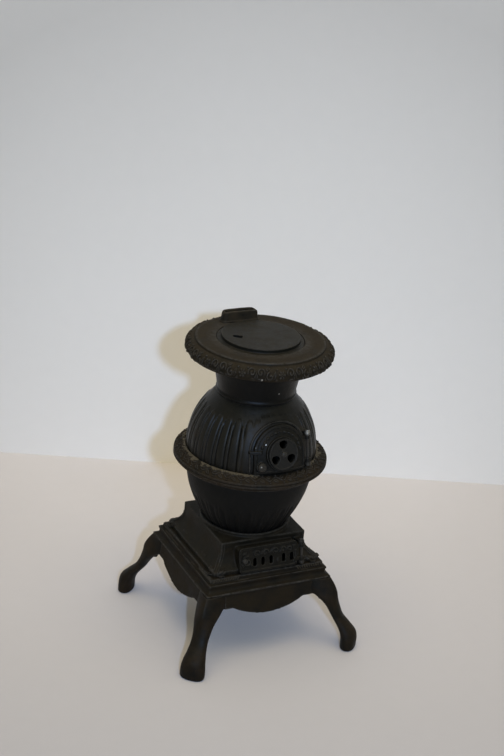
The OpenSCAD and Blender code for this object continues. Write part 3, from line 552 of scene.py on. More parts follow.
def prism_of(name, outline, low, high, place):
    """A straight solid over an outline that runs anticlockwise."""
    return bar_of(name, [place @ Vector((x, y, z)) for z in (low, high) for x, y in outline],
                  len(outline))


def box_of(name, low, high, place):
    (x0, y0, z0), (x1, y1, z1) = low, high
    return prism_of(name, [(x0, y0), (x1, y0), (x1, y1), (x0, y1)], z0, z1, place)


def cabriole_leg(name, angle):
    steps, around = 6, 56
    levels = [between(leg_levels, i, j / steps) for i in range(len(leg_levels) - 1)
              for j in range(steps)] + [np.array(leg_levels[-1])]
    place = spin(radians(angle))
    points = []
    for height, middle, out, into, half, power in levels:
        for a in [2 * pi * k / around for k in range(around)]:
            reach = out if cos(a) > 0 else into
            points.append(place @ Vector((middle + reach * rounded(cos(a), power),
                                          half * rounded(sin(a), power), height)))
    leg = bar_of(name, points, around)
    # Wings in the planes of the aprons, cut to a quarter round that runs down into the knee
    for side in (-1, 1):
        outline = [(66, -0.3), (46, -0.3), (46, -15.5), (50.5, -16.9)]
        outline += [(52.8 + 9.5 * sin(t), -26.8 + 9.5 * cos(t)) for t in np.linspace(0, 1.35, 9)]
        outline.append((66, -26))
        if side < 0:
            outline = [(-x, y) for x, y in reversed(outline)]
        plane = (spin(radians(angle + side * -45)) @ spin(pi / 2)
                 @ shift(0, apron_plane_y, apron_top) @ spin(radians(apron_lean), "X")
                 @ shift(side * 57, 0, 0.1) @ spin(radians(-side * 3.0), "Y")
                 @ shift(side * -57, 0, 0))
        joined(leg, prism_of("wing", outline, -3.6, 0.0, plane))
    joined(leg, box_of("strap", (68, -7, 72.5), (98, 7, leg_top), place),
           box_of("strap_end", (68, -7, 72.5), (84, 7, 92.95), place))
    uneven(cast_in_sand(leg, 0.65, 6), 0.3, 12, angle / 45)
    places = places_of(leg)
    places[:, 2] = np.maximum(places[:, 2], 0)
    place_at(leg, places)
    return leg


leg_iron = cast_iron("leg_iron", (0.0031, 0.0027, 0.0020), (0.0147, 0.0090, 0.0040), patch=0.44,
                     dust=0.22, rub=0.9, rough=0.48, reach=0.04)
for corner, angle in (("leg_front_left", 225), ("leg_front_right", 315), ("leg_rear_left", 135),
                      ("leg_rear_right", 45)):
    finished(cabriole_leg("cabriole_" + corner, angle), leg_iron, "stove", "warm_iron", corner)

# ---------- ash box ----------
# A square hollow casting with sides swept in like a cove, a mouth for the ash door, and a round
# seat on top that takes the foot of the fire pot. A thin bead runs up each side of its corners
# to a leaf at the foot.


def leaf_of_iron(name, length, width, height, across=13, along=17):
    """A pointed leaf with a sunk midrib and a scalloped edge, flat on z = 0, along X."""
    points, faces = [], []
    for i in range(along):
        t = i / (along - 1)
        w = width / 2 * sin(pi * t ** 0.8) ** 0.75 * (1 + 0.14 * sin(t * 19))
        for k in range(across):
            s = 2 * k / (across - 1) - 1
            rib = 1 - 0.45 * exp(-(s / 0.16) ** 2)
            z = height * sqrt(max(0.0, 1 - s * s)) * rib * sin(pi * t) ** 0.5
            points.append((t * length, s * w, z if 0 < i < along - 1 else 0.0))
    top = len(points)
    points += [(x, y, -0.8) for x, y, z in points]
    for i in range(along - 1):
        for q in [i * across + k for k in range(across - 1)]:
            square = (q, q + across, q + across + 1, q + 1)
            faces += [square, tuple(top + v for v in reversed(square))]
    rim = (list(range(across)) + [i * across + across - 1 for i in range(1, along)]
           + [(along - 1) * across + k for k in range(across - 2, -1, -1)]
           + [i * across for i in range(along - 2, 0, -1)])
    faces += [(rim[i - 1], rim[i], top + rim[i], top + rim[i - 1]) for i in range(len(rim))]
    return made_of(name, points, faces)


def skin_of(piece):
    """A piece's surface, for small castings to be laid on."""
    return BVHTree.FromPolygons([v.co / mm for v in piece.data.vertices],
                                [list(p.vertices) for p in piece.data.polygons])


def pressed_on(piece, skin, place):
    """Bends a small casting, modelled on z = 0, to the surface under its place."""
    out = (place.to_3x3() @ Vector((0, 0, 1))).normalized()
    for vertex in piece.data.vertices:
        x, y, z = vertex.co / mm
        flat_spot = place @ Vector((x, y, 0))
        spot, normal = skin.ray_cast(flat_spot + out * 14, -out, 34)[:2]
        vertex.co = (flat_spot + out * z if spot is None else spot + normal * z) * mm
    return piece


def face_right_way(piece):
    shape = bmesh.new()
    shape.from_mesh(piece.data)
    bmesh.ops.recalc_face_normals(shape, faces=shape.faces)
    shape.to_mesh(piece.data)
    shape.free()
    return piece


def moulding(name, spots, outs, width, height, sink=0.6, around=10):
    """A half-round moulding along spots of a surface, with the direction out of it at each."""
    points = []
    for i, (spot, out) in enumerate(zip(spots, outs)):
        ahead = spots[min(i + 1, len(spots) - 1)] - spots[max(i - 1, 0)]
        across = ahead.cross(out).normalized()
        for a in [pi * k / (around - 3) for k in range(around - 2)]:
            points.append(spot + across * (cos(a) * width / 2) + out * (sin(a) * height))
        points += [spot + across * (end * width / 2) - out * sink for end in (-1, 1)]
    return face_right_way(bar_of(name, points, around))


box_foot, box_deck = 97.5, 130.0
box_iron = cast_iron("box_iron", (0.0062, 0.0054, 0.0035), (0.0156, 0.0113, 0.0057), patch=0.42,
                     dust=0.3, rub=0.9, reach=0.04)
box = uneven(cast_in_sand(copy_of("ash_box", "ash_box_casting"), 0.85, 3), 0.3, 20, 2)
box_skin = skin_of(box)
trims = []
for side in range(4):
    turned_side = spin(side * pi / 2)
    for end in (-1, 1):
        spots, outs = [], []
        for height in np.linspace(box_foot + 1.6, box_deck - 1.2, 24):
            spot, out = box_skin.ray_cast(Vector((-200, 0, height)), Vector((1, 0, 0)))[:2]
            spots.append(turned_side @ Vector((end * (-spot.x - 3.4), spot.x, height)))
            outs.append(turned_side @ Vector((0, out.x, out.z)).normalized())
        trims.append(moulding("corner_bead", spots, outs, 1.25, 0.65))
        place = (turned_side @ shift(end * 58.5, -66, box_foot + 2.6) @ spin(radians(62), "X")
                 @ spin(radians(28 if end < 0 else 152)))
        trims.append(pressed_on(leaf_of_iron("leaf", 13, 7.0, 1.5), box_skin, place))
finished(joined(box, *trims), box_iron, "stove", "black_iron", "ash_box")

# ---------- ash door ----------
# A small flat door that leans back with the box, with a raised border, five draught slots, and
# low scrolls cast on its upper half. It hangs on a pin at its right and has a turned knob.


def scroll_of_iron(name, path, widths, height, around=10):
    """A low rounded bar along a path on z = 0, with a width at each point of the path."""
    path = [Vector((x, y, 0)) for x, y in path]
    points = []
    for i, spot in enumerate(path):
        ahead = path[min(i + 1, len(path) - 1)] - path[max(i - 1, 0)]
        across = Vector((-ahead.y, ahead.x, 0)).normalized()
        for a in [2 * pi * k / around for k in range(around)]:
            points.append(spot + across * (cos(a) * widths[i] / 2)
                          + Vector((0, 0, sin(a) * min(height, widths[i] * 0.9))))
    return face_right_way(bar_of(name, points, around))


def spiral(middle, start, turn_by, radius, end_radius, steps=22):
    """Points of a scroll that winds in about its middle."""
    for t in np.linspace(0, 1, steps):
        r = radius * (1 - t) ** 0.8 + end_radius * t
        a = start + turn_by * t
        yield middle[0] + r * cos(a), middle[1] + r * sin(a)


def laid(piece, matrix):
    """Lays a small casting, modelled on z = 0, on a place of the stove."""
    metres = matrix.copy()
    metres.translation = matrix.translation * mm
    piece.data.transform(metres)
    return piece


ash_iron = cast_iron("ash_door_iron", (0.0041, 0.0037, 0.0025), (0.0123, 0.0093, 0.0048),
                     patch=0.38, dust=0.5, rub=1.1, reach=0.05)
ash_door = copy_of("ash_door", "ash_door_casting")
door_face = shift(0, -60.6, 112.3) @ spin(radians(78), "X") @ shift(0, 0, 3.2)
for x, y, start, by, radius in ((-24.5, -1.5, 1.4, 6.6, 6.4), (-13, 5.9, 3.3, -6.4, 3.9),
                                (-3.5, 6.1, -0.2, 6.4, 3.7), (8.5, 6.1, 3.3, -6.4, 3.9),
                                (17.5, 6.0, -0.2, 6.4, 3.6), (25.5, 5.8, 3.3, -6.2, 3.4)):
    path = list(spiral((x, y), start, by, radius, 0.5))
    bar = scroll_of_iron("scroll", path, np.linspace(2.1, 1.2, len(path)), 1.55)
    joined(ash_door, laid(bar, door_face))
for x, y, angle in ((-31, -7.5, 1.2), (-18.5, -9, 2.2), (-9.5, 3.4, 0.9), (11, -7.5, 1.45),
                    (1.2, 3.2, 0.9), (3.6, 8.6, 5.2), (13.2, 3.0, 0.8), (-30.5, 6.0, 0.5),
                    (-17.0, 8.4, 5.0), (22.0, 8.2, 5.4)):
    joined(ash_door, laid(leaf_of_iron("leaf", 5.8, 3.1, 1.35, 7, 9),
                          door_face @ shift(x, y, 0) @ spin(angle)))
finished(uneven(cast_in_sand(ash_door, 0.38), 0.12, 8, 3), ash_iron, "ash_door", "black_iron",
         "ash_door")

worn_iron = cast_iron("worn_iron", (0.028, 0.0255, 0.022), (0.040, 0.030, 0.021), patch=0.35,
                      dust=0.15, rub=1.0, rough=0.38, reach=0.05)
# Bare chips painted bright on the feed-door hinge, the ash-door pin and the knob, standing as
# glints: painted highlights.
chips_and_painted_glints(worn_iron, (34.0, -62.0, 255.5, 5.0), (39.5, -69.5, 101.7, 1.6),
             (-25.0, -75.4, 229.5, 1.0))


def worn_piece(node, name, grain, body):
    """A small piece that hands or its own travel have rubbed bare."""
    finished(cast_in_sand(copy_of(node, name), grain), worn_iron, body, "worn_iron", node)


worn_piece("ash_door_knob", "ash_door_turned_knob", 0.22, "ash_door")
worn_piece("ash_door_pin", "ash_door_hinge_pin", 0.22, "stove")

# ---------- fire pot and grate ----------
# A bowl cast in one piece, smooth under its rim and finely fluted round its lower half. A flat
# grate drops on a ledge near its foot.


def turned(name, profile, columns, dense):
    """A closed profile (radius, height) turned round the Z axis. Stores how far round and how
    far along the dense stretch of the profile each point lies, for a carving to follow."""
    n = len(profile)
    angles = np.arange(columns) * 2 * pi / columns
    profile = np.asarray(profile, float)
    points = np.empty((n, columns, 3))
    points[:, :, 0] = profile[:, :1] * np.cos(angles)
    points[:, :, 1] = profile[:, :1] * np.sin(angles)
    points[:, :, 2] = profile[:, 1:2]
    index = np.arange(n * columns).reshape(n, columns)
    ahead, beside = np.roll(index, -1, 0), np.roll(index, -1, 1)
    faces = np.stack([index, beside, np.roll(ahead, -1, 1), ahead], -1).reshape(-1, 4)
    made = made_of(name, points.reshape(-1, 3), faces)
    along = np.full(n, -1.0)
    along[dense[0]:dense[1]] = np.linspace(0, 1, dense[1] - dense[0])
    mark(made, "round", np.tile(angles / (2 * pi), n))
    mark(made, "along", np.repeat(along, columns))
    return made


def carving_tree():
    """Repeats a carved tile round a band: each point of the band is lifted by the tile's height
    at its own place in the repeat, looked up by a ray that falls on the tile."""
    tree, (band, tile, repeats, start, height, iron), gives = node_group(
        "Geometry", "carving_round_a_band",
        {"Geometry": "Geometry", "Tile": "Object", "Repeats": "Float", "Start": "Float",
         "Height": "Float", "Iron": "Material"}, ["Geometry"])
    times = sums(tree, "MULTIPLY_ADD", stored(tree, "round"), repeats, start)
    above = put(tree, "ShaderNodeCombineXYZ", {"X": sums(tree, "FRACT", times),
                                               "Y": stored(tree, "along"), "Z": 2.0})
    shape = put(tree, "GeometryNodeObjectInfo", {"Object": tile}).outputs["Geometry"]
    fall = put(tree, "GeometryNodeRaycast", {"Target Geometry": shape,
                                             "Source Position": above.outputs[0],
                                             "Ray Direction": (0, 0, -1), "Ray Length": 5.0})
    landed = put(tree, "ShaderNodeSeparateXYZ", {0: fall.outputs["Hit Position"]}).outputs["Z"]
    lift = sums(tree, "MULTIPLY", landed, fall.outputs["Is Hit"])
    lift = sums(tree, "MULTIPLY", lift, stored(tree, "carved"))
    lift = sums(tree, "MULTIPLY", lift, height)
    out = put(tree, "GeometryNodeInputNormal").outputs[0]
    moved = put(tree, "GeometryNodeSetPosition", {"Geometry": band,
                                                  "Offset": scaled(tree, out, lift)})
    return cast_out(tree, gives, moved.outputs[0], iron)


carving = carving_tree()


def tile_of(name, heights):
    """A carved tile one unit square, from a grid of heights from 0 to 1."""
    rows, columns = heights.shape
    x, y = np.meshgrid(np.linspace(0, 1, columns), np.linspace(0, 1, rows))
    points = np.stack([x, y, heights], -1).reshape(-1, 3) / mm
    index = np.arange(rows * columns).reshape(rows, columns)
    faces = np.stack([index[:-1, :-1], index[:-1, 1:], index[1:, 1:], index[1:, :-1]], -1)
    return made_of(name, points, faces.reshape(-1, 4))


def carve(piece, heights, repeats, start, height, iron, share=1.0):
    """Carves a repeated tile into the dense stretch of a turned piece."""
    tile = tile_of("tile", heights)
    mark(piece, "carved", np.ones(len(piece.data.vertices)) * share)
    grow(piece, carving, Tile=tile, Repeats=float(repeats), Start=float(start),
         Height=height * mm, Iron=iron)
    bpy.data.objects.remove(tile)
    for label in ("round", "along", "carved"):
        piece.data.attributes.remove(piece.data.attributes[label])


def eased(value, low, high):
    """0 below low, 1 above high, and smooth between."""
    t = np.clip((value - low) / (high - low), 0, 1)
    return t * t * (3 - 2 * t)


def unit_tile(columns, rows):
    return np.meshgrid(np.linspace(0, 1, columns), np.linspace(0, 1, rows))


pot_foot, pot_rim, pot_rc, pot_zc, pot_arc, pot_wall = 130.0, 200.0, -47.3, 203.3, 116.0, 4.0


def pot_radius(z, off=0.0):
    return pot_rc + np.sqrt((pot_arc + off) ** 2 - (z - pot_zc) ** 2)


outer = [(pot_radius(z), z) for z in np.linspace(pot_foot + 0.6, pot_rim - 0.5, 58)]
inner = [(pot_radius(z, -pot_wall), z) for z in np.linspace(pot_rim - 0.5, 140.2, 14)]
foot = [(40.1, 140.0), (40.1, 137.0), (43.0, 136.8), (40.9, 134.0), (33.2, 134.0),
        (33.0, pot_foot), (42.3, pot_foot)]
pot = turned("fire_pot_casting", outer + [(67.9, pot_rim), (65.4, pot_rim)] + inner + foot, 900,
             (0, len(outer)))
x, y = unit_tile(121, 60)
flute = 1 - np.abs(np.cos(pi * x)) ** 5
deep = 1 - eased(y, 0.50 - 0.10 * np.abs(2 * x - 1) ** 2, 0.60)
pot_flutes = (flute - 1) * deep - 0.35 * np.exp(-((x - 0.5) / 0.09) ** 2) * deep
pot_iron = cast_iron("pot_iron", (0.0060, 0.0057, 0.0050), (0.0121, 0.0101, 0.0066), patch=0.3,
                     dust=0.12, rub=0.4, rough=0.6, gloss=0.1)
carve(pot, pot_flutes, 29, 0.25, 1.45, pot_iron)
finished(uneven(pot, 0.35, 16, 4), pot_iron, "stove", "black_iron", "fire_pot")

grate_iron = cast_iron("grate_iron", (0.016, 0.014, 0.012), (0.05, 0.03, 0.017), patch=0.6,
                       dust=0.6, rub=0.3, rough=0.7)
finished(cast_in_sand(copy_of("grate", "grate_casting"), 0.8), grate_iron, "stove", "black_iron",
         "grate")

# ---------- waist ring ----------
# A separate ring bolted between the pot and the upper body. Its sloping top carries a cast vine
# with leaves, and two beads run along its edge. Dust has caked where it meets the body.

ring_arc_r, ring_arc_z, ring_arc = 69.7, 199.6, 16.0
ring_seat_r, ring_bottom, ring_seat_z, ring_in = 70.7, 200.0, 209.0, 54.1
vine_length, vine_height, vine_repeats = 14.8, 12.4, 33


def arc_points(middle, radius, start, end, count):
    """Points of an arc in a profile, by its angles in degrees."""
    return [(middle[0] + radius * cos(a), middle[1] + radius * sin(a))
            for a in np.linspace(radians(start), radians(end), count)]


def mound(x, y, middle, wide, high, turn=0.0):
    """Height of a low dome on a tile."""
    u = (x - middle[0]) * cos(turn) + (y - middle[1]) * sin(turn)
    v = (y - middle[1]) * cos(turn) - (x - middle[0]) * sin(turn)
    return np.sqrt(np.clip(1 - (u / wide) ** 2 - (v / high) ** 2, 0, 1))


def leaf_height(x, y, start, tip, width):
    """Height of a pointed leaf with a sunk midrib on a tile."""
    length = dist(start, tip)
    ax, ay = (tip[0] - start[0]) / length, (tip[1] - start[1]) / length
    ahead = (x - start[0]) * ax + (y - start[1]) * ay
    off = (y - start[1]) * ax - (x - start[0]) * ay
    half = width / 2 * np.sin(pi * np.clip(ahead / length, 0, 1) ** 0.8) ** 0.8 + 1e-3
    inside = np.clip(1 - (off / half) ** 2, 0, 1) * ((ahead > 0) & (ahead < length))
    return np.sqrt(inside) * (1 - 0.5 * np.exp(-(off / (0.16 * width)) ** 2))


def stem_height(x, y, path, width):
    """Height of a rounded stem that follows a path on a tile."""
    best = np.full(x.shape, 1e9)
    for (x0, y0), (x1, y1) in zip(path[:-1], path[1:]):
        dx, dy = x1 - x0, y1 - y0
        t = np.clip(((x - x0) * dx + (y - y0) * dy) / (dx * dx + dy * dy + 1e-9), 0, 1)
        best = np.minimum(best, np.hypot(x - x0 - t * dx, y - y0 - t * dy))
    return np.sqrt(np.clip(1 - (best / (width / 2)) ** 2, 0, 1))


def ornament(length, height, columns, rows, draw):
    """Heights of a tile that joins up with itself, drawn by a function of x and y in mm."""
    x, y = np.meshgrid(np.linspace(0, length, columns), np.linspace(0, height, rows))
    return np.maximum.reduce([draw(x + along, y) for along in (-length, 0, length)])


def vine(x, y):
    path = [(vine_length * t, 6.0 + 2.4 * sin(2 * pi * t)) for t in np.linspace(-0.1, 1.1, 40)]
    return np.maximum.reduce([
        0.7 * stem_height(x, y, path, 1.4),
        leaf_height(x, y, (7.9, 6.2), (13.4, 10.2), 4.2),
        leaf_height(x, y, (0.5, 5.6), (6.2, 1.7), 4.2),
        mound(x, y, (4.1, 10.5), 1.25, 1.25), mound(x, y, (11.2, 1.3), 1.1, 1.1)])


def marked(piece, label):
    """The number that a piece stores for each of its points."""
    values = np.zeros(len(piece.data.vertices))
    piece.data.attributes[label].data.foreach_get("value", values)
    return values


edge = [(77.7, ring_bottom + 0.2), (77.8, 201.2), (80.3, 202.6)]
edge += arc_points((81.3, 205.9), 1.7, -78, 62, 12) + arc_points((81.6, 209.1), 1.35, -72, 80, 12)
slope = arc_points((ring_arc_r, ring_arc_z), ring_arc, 42.0, 86.4, 46)
seat = [(ring_seat_r, 209.2), (ring_seat_r - 0.2, ring_seat_z), (54.2, ring_seat_z),
        (ring_in, 208.8), (ring_in, 200.2), (54.3, ring_bottom), (71.2, ring_bottom),
        (71.2, 204.8), (76.2, 204.8), (76.2, ring_bottom)]
ring = turned("waist_ring_casting", edge + slope + seat, 1040,
              (len(edge), len(edge) + len(slope)))
ring_iron = cast_iron("ring_iron", (0.0022, 0.0022, 0.0012), (0.0158, 0.0089, 0.0030), patch=0.54,
                      dust=0.4, rub=1.2, relief=0.3, reach=0.03)
along, around = marked(ring, "along"), marked(ring, "round")
bearing = np.where(around > 0.5, around - 1, around) * 360
wander = np.array([noise.fractal(Vector(p) / 8.0, 0.6, 2.0, 4) for p in places_of(ring)])
front = eased(np.abs(bearing + 80), 22, 34)
caked = eased(along, 0.55, 0.95) * 1.5 - 0.42 + wander * 1.9
caked = np.clip(caked, 0, 1) * eased(along, 0.42, 0.62)
caked = eased(caked * (0.2 + 0.8 * front), 0.22, 0.62)
carve(ring, ornament(vine_length, vine_height, 90, 60, vine), vine_repeats, 0.0, 1.45, ring_iron,
      eased(along, 0.0, 0.09) * (1 - caked * 0.85))
places = places_of(ring)
places[:, 2] += caked * 0.9
place_at(ring, places)
mark(ring, "caked", caked)
cake_dust(ring_iron, (0.098, 0.082, 0.056), 700.0)
finished(uneven(ring, 0.3, 22, 5), ring_iron, "stove", "warm_iron", "waist_ring")

# ---------- upper body ----------
# The fluted dome of the stove, one casting, with an arched mouth for the feed door. Broad ribs
# and narrow reeds stand round it, and a raised arch frames the mouth.

dome_rc, dome_zc, dome_arc, dome_wall = -10.5, 219.3, 80.7, 4.0
dome_low, dome_top, feed_lean = 209.0, 281.0, radians(14.13)
reeds, reed_start, broad_end = 30, 0.42, 0.69
feed_frame = shift(0, -67.8, 239.0) @ spin(pi / 2 - feed_lean, "X")


def dome_arc_points(off, start_z, end_z, count):
    reach = dome_arc + off
    start, end = (degrees(asin((z - dome_zc) / reach)) for z in (start_z, end_z))
    return arc_points((dome_rc, dome_zc), reach, start, end, count)


def on_dome(x, y, off):
    """The point that lies off outside the dome, at x and y across the face of the feed door."""
    n = 0.0
    for _ in range(30):
        spot = feed_frame @ Vector((x, y, n))
        n -= hypot(hypot(spot.x, spot.y) - dome_rc, spot.z - dome_zc) - dome_arc - off
    return feed_frame @ Vector((x, y, n))


def out_of_dome(spot):
    """The direction straight out of the dome at a point of it."""
    radius = hypot(spot.x, spot.y)
    side = Vector((spot.x / radius, spot.y / radius, 0))
    return (side * (radius - dome_rc) + Vector((0, 0, spot.z - dome_zc))).normalized()


def arch_outline(radius, drop, steps=40):
    """An arch from its left foot over to its right foot."""
    over = [(-radius * cos(t), radius * sin(t)) for t in np.linspace(0, pi, steps)]
    up = [(-radius, y) for y in np.linspace(-drop, -1.5, 10)]
    return up + over + [(-x, y) for x, y in reversed(up)]


def reeding(x, y):
    """A broad rib and a narrow reed, with rounded tops, on a unit tile."""
    broad = x < broad_end
    lean = np.abs(2 * np.where(broad, x / broad_end, (x - broad_end) / 0.31) - 1)
    crest = np.where(broad, -lean ** 4.5, -0.12 - 0.88 * lean ** 3)
    top = np.where(broad, 0.79, 0.70) - np.where(broad, 0.055, 0.03) * lean ** 2
    below = 1 - eased(y, top - 0.012, top + 0.02)
    plain = -0.42 * (1 - eased(y, 0.86, 0.98))
    return crest * below + plain * (1 - below)


def cut_away(piece, cutter, crisp):
    """Cuts one shape out of a piece, joins nothing else, and removes the shape."""
    cut = piece.modifiers.new("cut", "BOOLEAN")
    cut.operation, cut.solver, cut.object = "DIFFERENCE", "MANIFOLD", cutter
    smooth(settle(piece), crisp)
    bpy.data.objects.remove(cutter)


outer = dome_arc_points(0, dome_low + 0.3, dome_top - 0.2, 66)
inner = dome_arc_points(-dome_wall, dome_top, dome_low, 16)
shell = turned("body_casting", outer + [(41.0, dome_top)] + inner + [(69.3, dome_low)], 900,
               (0, len(outer)))
body_iron = cast_iron("body_iron", (0.0035, 0.0035, 0.0026), (0.0166, 0.0115, 0.0051), patch=0.37,
                      dust=0.22, rub=0.8, rough=0.4, gloss=0.26, reach=0.04)
# A bare chip painted bright beside the hinge, standing as a glint: painted highlight.
chips_and_painted_glints(body_iron, (33.5, -60.0, 255.0, 3.2))
# Reeds whose grooves would run into the mouth's arch are left out
places = places_of(shell)
radii = np.hypot(places[:, 0], places[:, 1])
lap = np.arctan2(places[:, 1], places[:, 0]) / (2 * pi) * reeds + reed_start
groove = np.floor(lap) + np.where(lap % 1 < 0.345, 0, np.where(lap % 1 < 0.845, broad_end, 1))
lap = (groove - reed_start) / reeds * 2 * pi
flat = feed_frame.inverted()
across = np.array([(flat @ Vector((r * cos(a), r * sin(a), z)))[:]
                   for r, a, z in zip(radii, lap, places[:, 2])])
near = np.where(across[:, 1] > 0, np.hypot(across[:, 0], across[:, 1]), np.abs(across[:, 0]))
share = np.where(across[:, 2] > -40, eased(near, 37.5, 42.0), 1.0)
carve(shell, reeding(*unit_tile(160, 90)), reeds, reed_start, 1.75, body_iron, share)
mouth = prism_of("mouth", arch_outline(26.0, 16.5)[::-1], -45, 30, feed_frame)
cut_away(shell, mouth, None)
frame_path = [(x, y) for x, y in arch_outline(31.9, 21.0, 60) if x < 28.7]
frame_spots = [on_dome(x, y, 0.0) for x, y in frame_path]
bead = moulding("mouth_arch", frame_spots, [out_of_dome(spot) for spot in frame_spots], 3.0, 1.9)
lugs = []
for low, high in ((14.3, 18.0), (-18.0, -14.3)):
    circle = [(34 + 3 * cos(t), 3 * sin(t)) for t in np.linspace(0, 2 * pi, 24, endpoint=False)]
    lugs += [prism_of("knuckle", circle, -high, -low,
                      feed_frame @ shift(0, 0, -5.0) @ spin(pi / 2, "X")),
             box_of("lug", (31, low, -12), (37, high, -5), feed_frame)]
for third in range(3):
    at = spin(radians(90 + 120 * third))
    lugs += [box_of("bolt_lug", (54.2, -4.6, 209.1), (68.0, 4.6, 213.0), at),
             box_of("bolt_lug", (28.0, -4.6, 277.0), (39.5, 4.6, 280.9), at)]
smooth(joined(shell, bead, *lugs), 50)
finished(uneven(shell, 0.3, 20, 114), body_iron, "stove", "black_iron", "body_shell")

# ---------- feed door ----------
# An arched door that follows the dome, hung on a pin at its right. Mouldings follow its arch, a
# row of beads runs between them, and a flat boss carries the draught wheel.

door_iron = cast_iron("feed_door_iron", (0.0047, 0.0047, 0.0041), (0.0146, 0.0117, 0.0077),
                      patch=0.36, dust=0.3, rub=1.0, rough=0.42, reach=0.05)
# Two bare chips painted bright by the draught wheel, standing as glints: painted highlights.
chips_and_painted_glints(door_iron, (-17.2, -65.9, 249.6, 1.1), (-28.0, -64.6, 247.0, 0.8))
feed_door = copy_of("feed_door", "feed_door_casting")
seed_row, seeds, seed_off = 22.6, 13, 3.4
for i in range(seeds):
    a = radians(8 + 164 * i / (seeds - 1))
    spot, ahead = (on_dome(seed_row * cos(t), seed_row * sin(t), seed_off) for t in (a, a + 0.02))
    out, ahead = out_of_dome(spot), (ahead - spot).normalized()
    lie = Matrix((ahead, out.cross(ahead), out)).transposed().to_4x4()
    seed = leaf_of_iron("seed", 4.6, 3.0 if i % 2 else 2.2, 1.25, 7, 9)
    joined(feed_door, laid(seed, Matrix.Translation(spot) @ lie @ shift(-2.3, 0, 0)))
finished(uneven(cast_in_sand(feed_door, 0.4), 0.12, 9, 7), door_iron, "feed_door", "black_iron",
         "feed_door")
worn_piece("feed_door_knob", "feed_door_turned_knob", 0.25, "feed_door")
worn_piece("feed_door_pin", "feed_door_hinge_pin", 0.22, "stove")

# ---------- draught wheel ----------
# A small cast disc with three air holes and a raised edge. It turns on a rivet through the door,
# and fingers have rubbed its rim and the rivet's head bright.

hole_reach, hole_half, hole_half_angle = 10.1, 4.5, radians(25)


def air_hole(turn, square, grow):
    """An outline round an air hole, squarer with a larger number, and grown by so much."""
    for a in np.linspace(0, 2 * pi, 48, endpoint=False):
        radius = hole_reach + (hole_half + grow) * rounded(cos(a), square)
        angle = turn + (hole_half_angle + grow / hole_reach) * rounded(sin(a), square)
        yield radius * cos(angle), radius * sin(angle)


def frame_of(name, inner, outer, low, high, place):
    """A flat frame between two outlines with as many points."""
    n = len(inner)
    points = [place @ Vector((x, y, z)) for z in (low, high) for x, y in inner + outer]
    faces = []
    for k in range(n):
        m = (k + 1) % n
        faces += [(k, m, 2 * n + m, 2 * n + k), (n + m, n + k, 3 * n + k, 3 * n + m),
                  (k, n + k, n + m, m), (2 * n + m, 3 * n + m, 3 * n + k, 2 * n + k)]
    return face_right_way(made_of(name, points, faces))


wheel_iron = cast_iron("wheel_iron", (0.0135, 0.013, 0.012), (0.026, 0.0215, 0.016), patch=0.3,
                       dust=0.2, rub=1.2, rough=0.4, reach=0.05)
wheel = copy_of("draught_wheel", "draught_wheel_casting")
for turn in np.radians((90, 210, 330)):
    joined(wheel, frame_of("hole_edge", list(air_hole(turn, 2.7, -0.1)),
                           list(air_hole(turn, 14, 0.5)), 4.65, 6.75, feed_frame))
finished(uneven(cast_in_sand(wheel, 0.28), 0.08, 7, 8), wheel_iron, "draught_wheel", "black_iron",
         "draught_wheel")
worn_piece("wheel_rivet", "wheel_rivet_head", 0.2, "feed_door")

# ---------- neck ----------
# A smooth flaring collar between the dome and the top plate, with a bead round its foot.

neck_iron = cast_iron("neck_iron", (0.0028, 0.0028, 0.0025), (0.0076, 0.0061, 0.0039), patch=0.28,
                      dust=0.15, rub=0.5, rough=0.4)
# A bare chip painted bright on the neck, standing as a glint: painted highlight.
chips_and_painted_glints(neck_iron, (4.4, -43.6, 295.1, 0.75))
finished(uneven(cast_in_sand(copy_of("neck", "neck_casting"), 0.8, 5), 0.3, 18, 9), neck_iron,
         "stove", "black_iron", "neck")

# ---------- top plate ----------
# A flat round plate with a sunk seat for the lid. Its rim turns down in a half-round band that
# carries a running ornament of rosettes, scrolls and leaves.

rim_middle, rim_round, plate_top = (69.4, 330.0), 8.6, 341.0


def rosettes_and_scrolls(x, y):
    y = y + 2.9

    def scroll(middle, start, by, radius):
        return stem_height(x, y, list(spiral(middle, start, by, radius, 0.5, 26)), 1.35)

    return np.maximum.reduce([
        mound(x, y, (4.2 + 1.9 * cos(a), 9.2 + 1.9 * sin(a)), 1.15, 0.95, a)
        for a in np.linspace(0, 2 * pi, 6, endpoint=False)
    ] + [
        leaf_height(x, y, start, tip, width) for start, tip, width in (
            ((15.0, 5.2), (15.0, 10.4), 3.0), ((15.0, 5.6), (9.4, 5.0), 2.4),
            ((15.0, 5.6), (20.6, 5.0), 2.4), ((22.0, 11.8), (25.4, 14.2), 2.6),
            ((28.0, 5.8), (29.8, 11.6), 2.8))
    ] + [
        mound(x, y, middle, size, size) for middle, size in (
            ((22.3, 6.0), 0.95), ((8.1, 13.3), 0.9), ((0.4, 12.8), 0.9), ((0.2, 5.6), 1.0))
    ] + [
        1.2 * mound(x, y, (4.2, 9.2), 1.3, 1.3) - 0.5 * mound(x, y, (4.2, 9.2), 0.65, 0.65),
        scroll((11.6, 10.4), 3.5, -6.6, 3.1), scroll((18.4, 10.4), -0.35, 6.6, 3.1),
        scroll((25.6, 8.2), 1.9, 6.2, 2.9)])


def oblong(length, width, radius, steps=7):
    """A rectangle with round corners, anticlockwise, about the middle."""
    return [(cx * (length / 2 - radius) + radius * cos(a),
             cy * (width / 2 - radius) + radius * sin(a))
            for cx, cy, start in ((1, 1, 0), (-1, 1, 90), (-1, -1, 180), (1, -1, 270))
            for a in np.radians(np.linspace(start, start + 90, steps))]


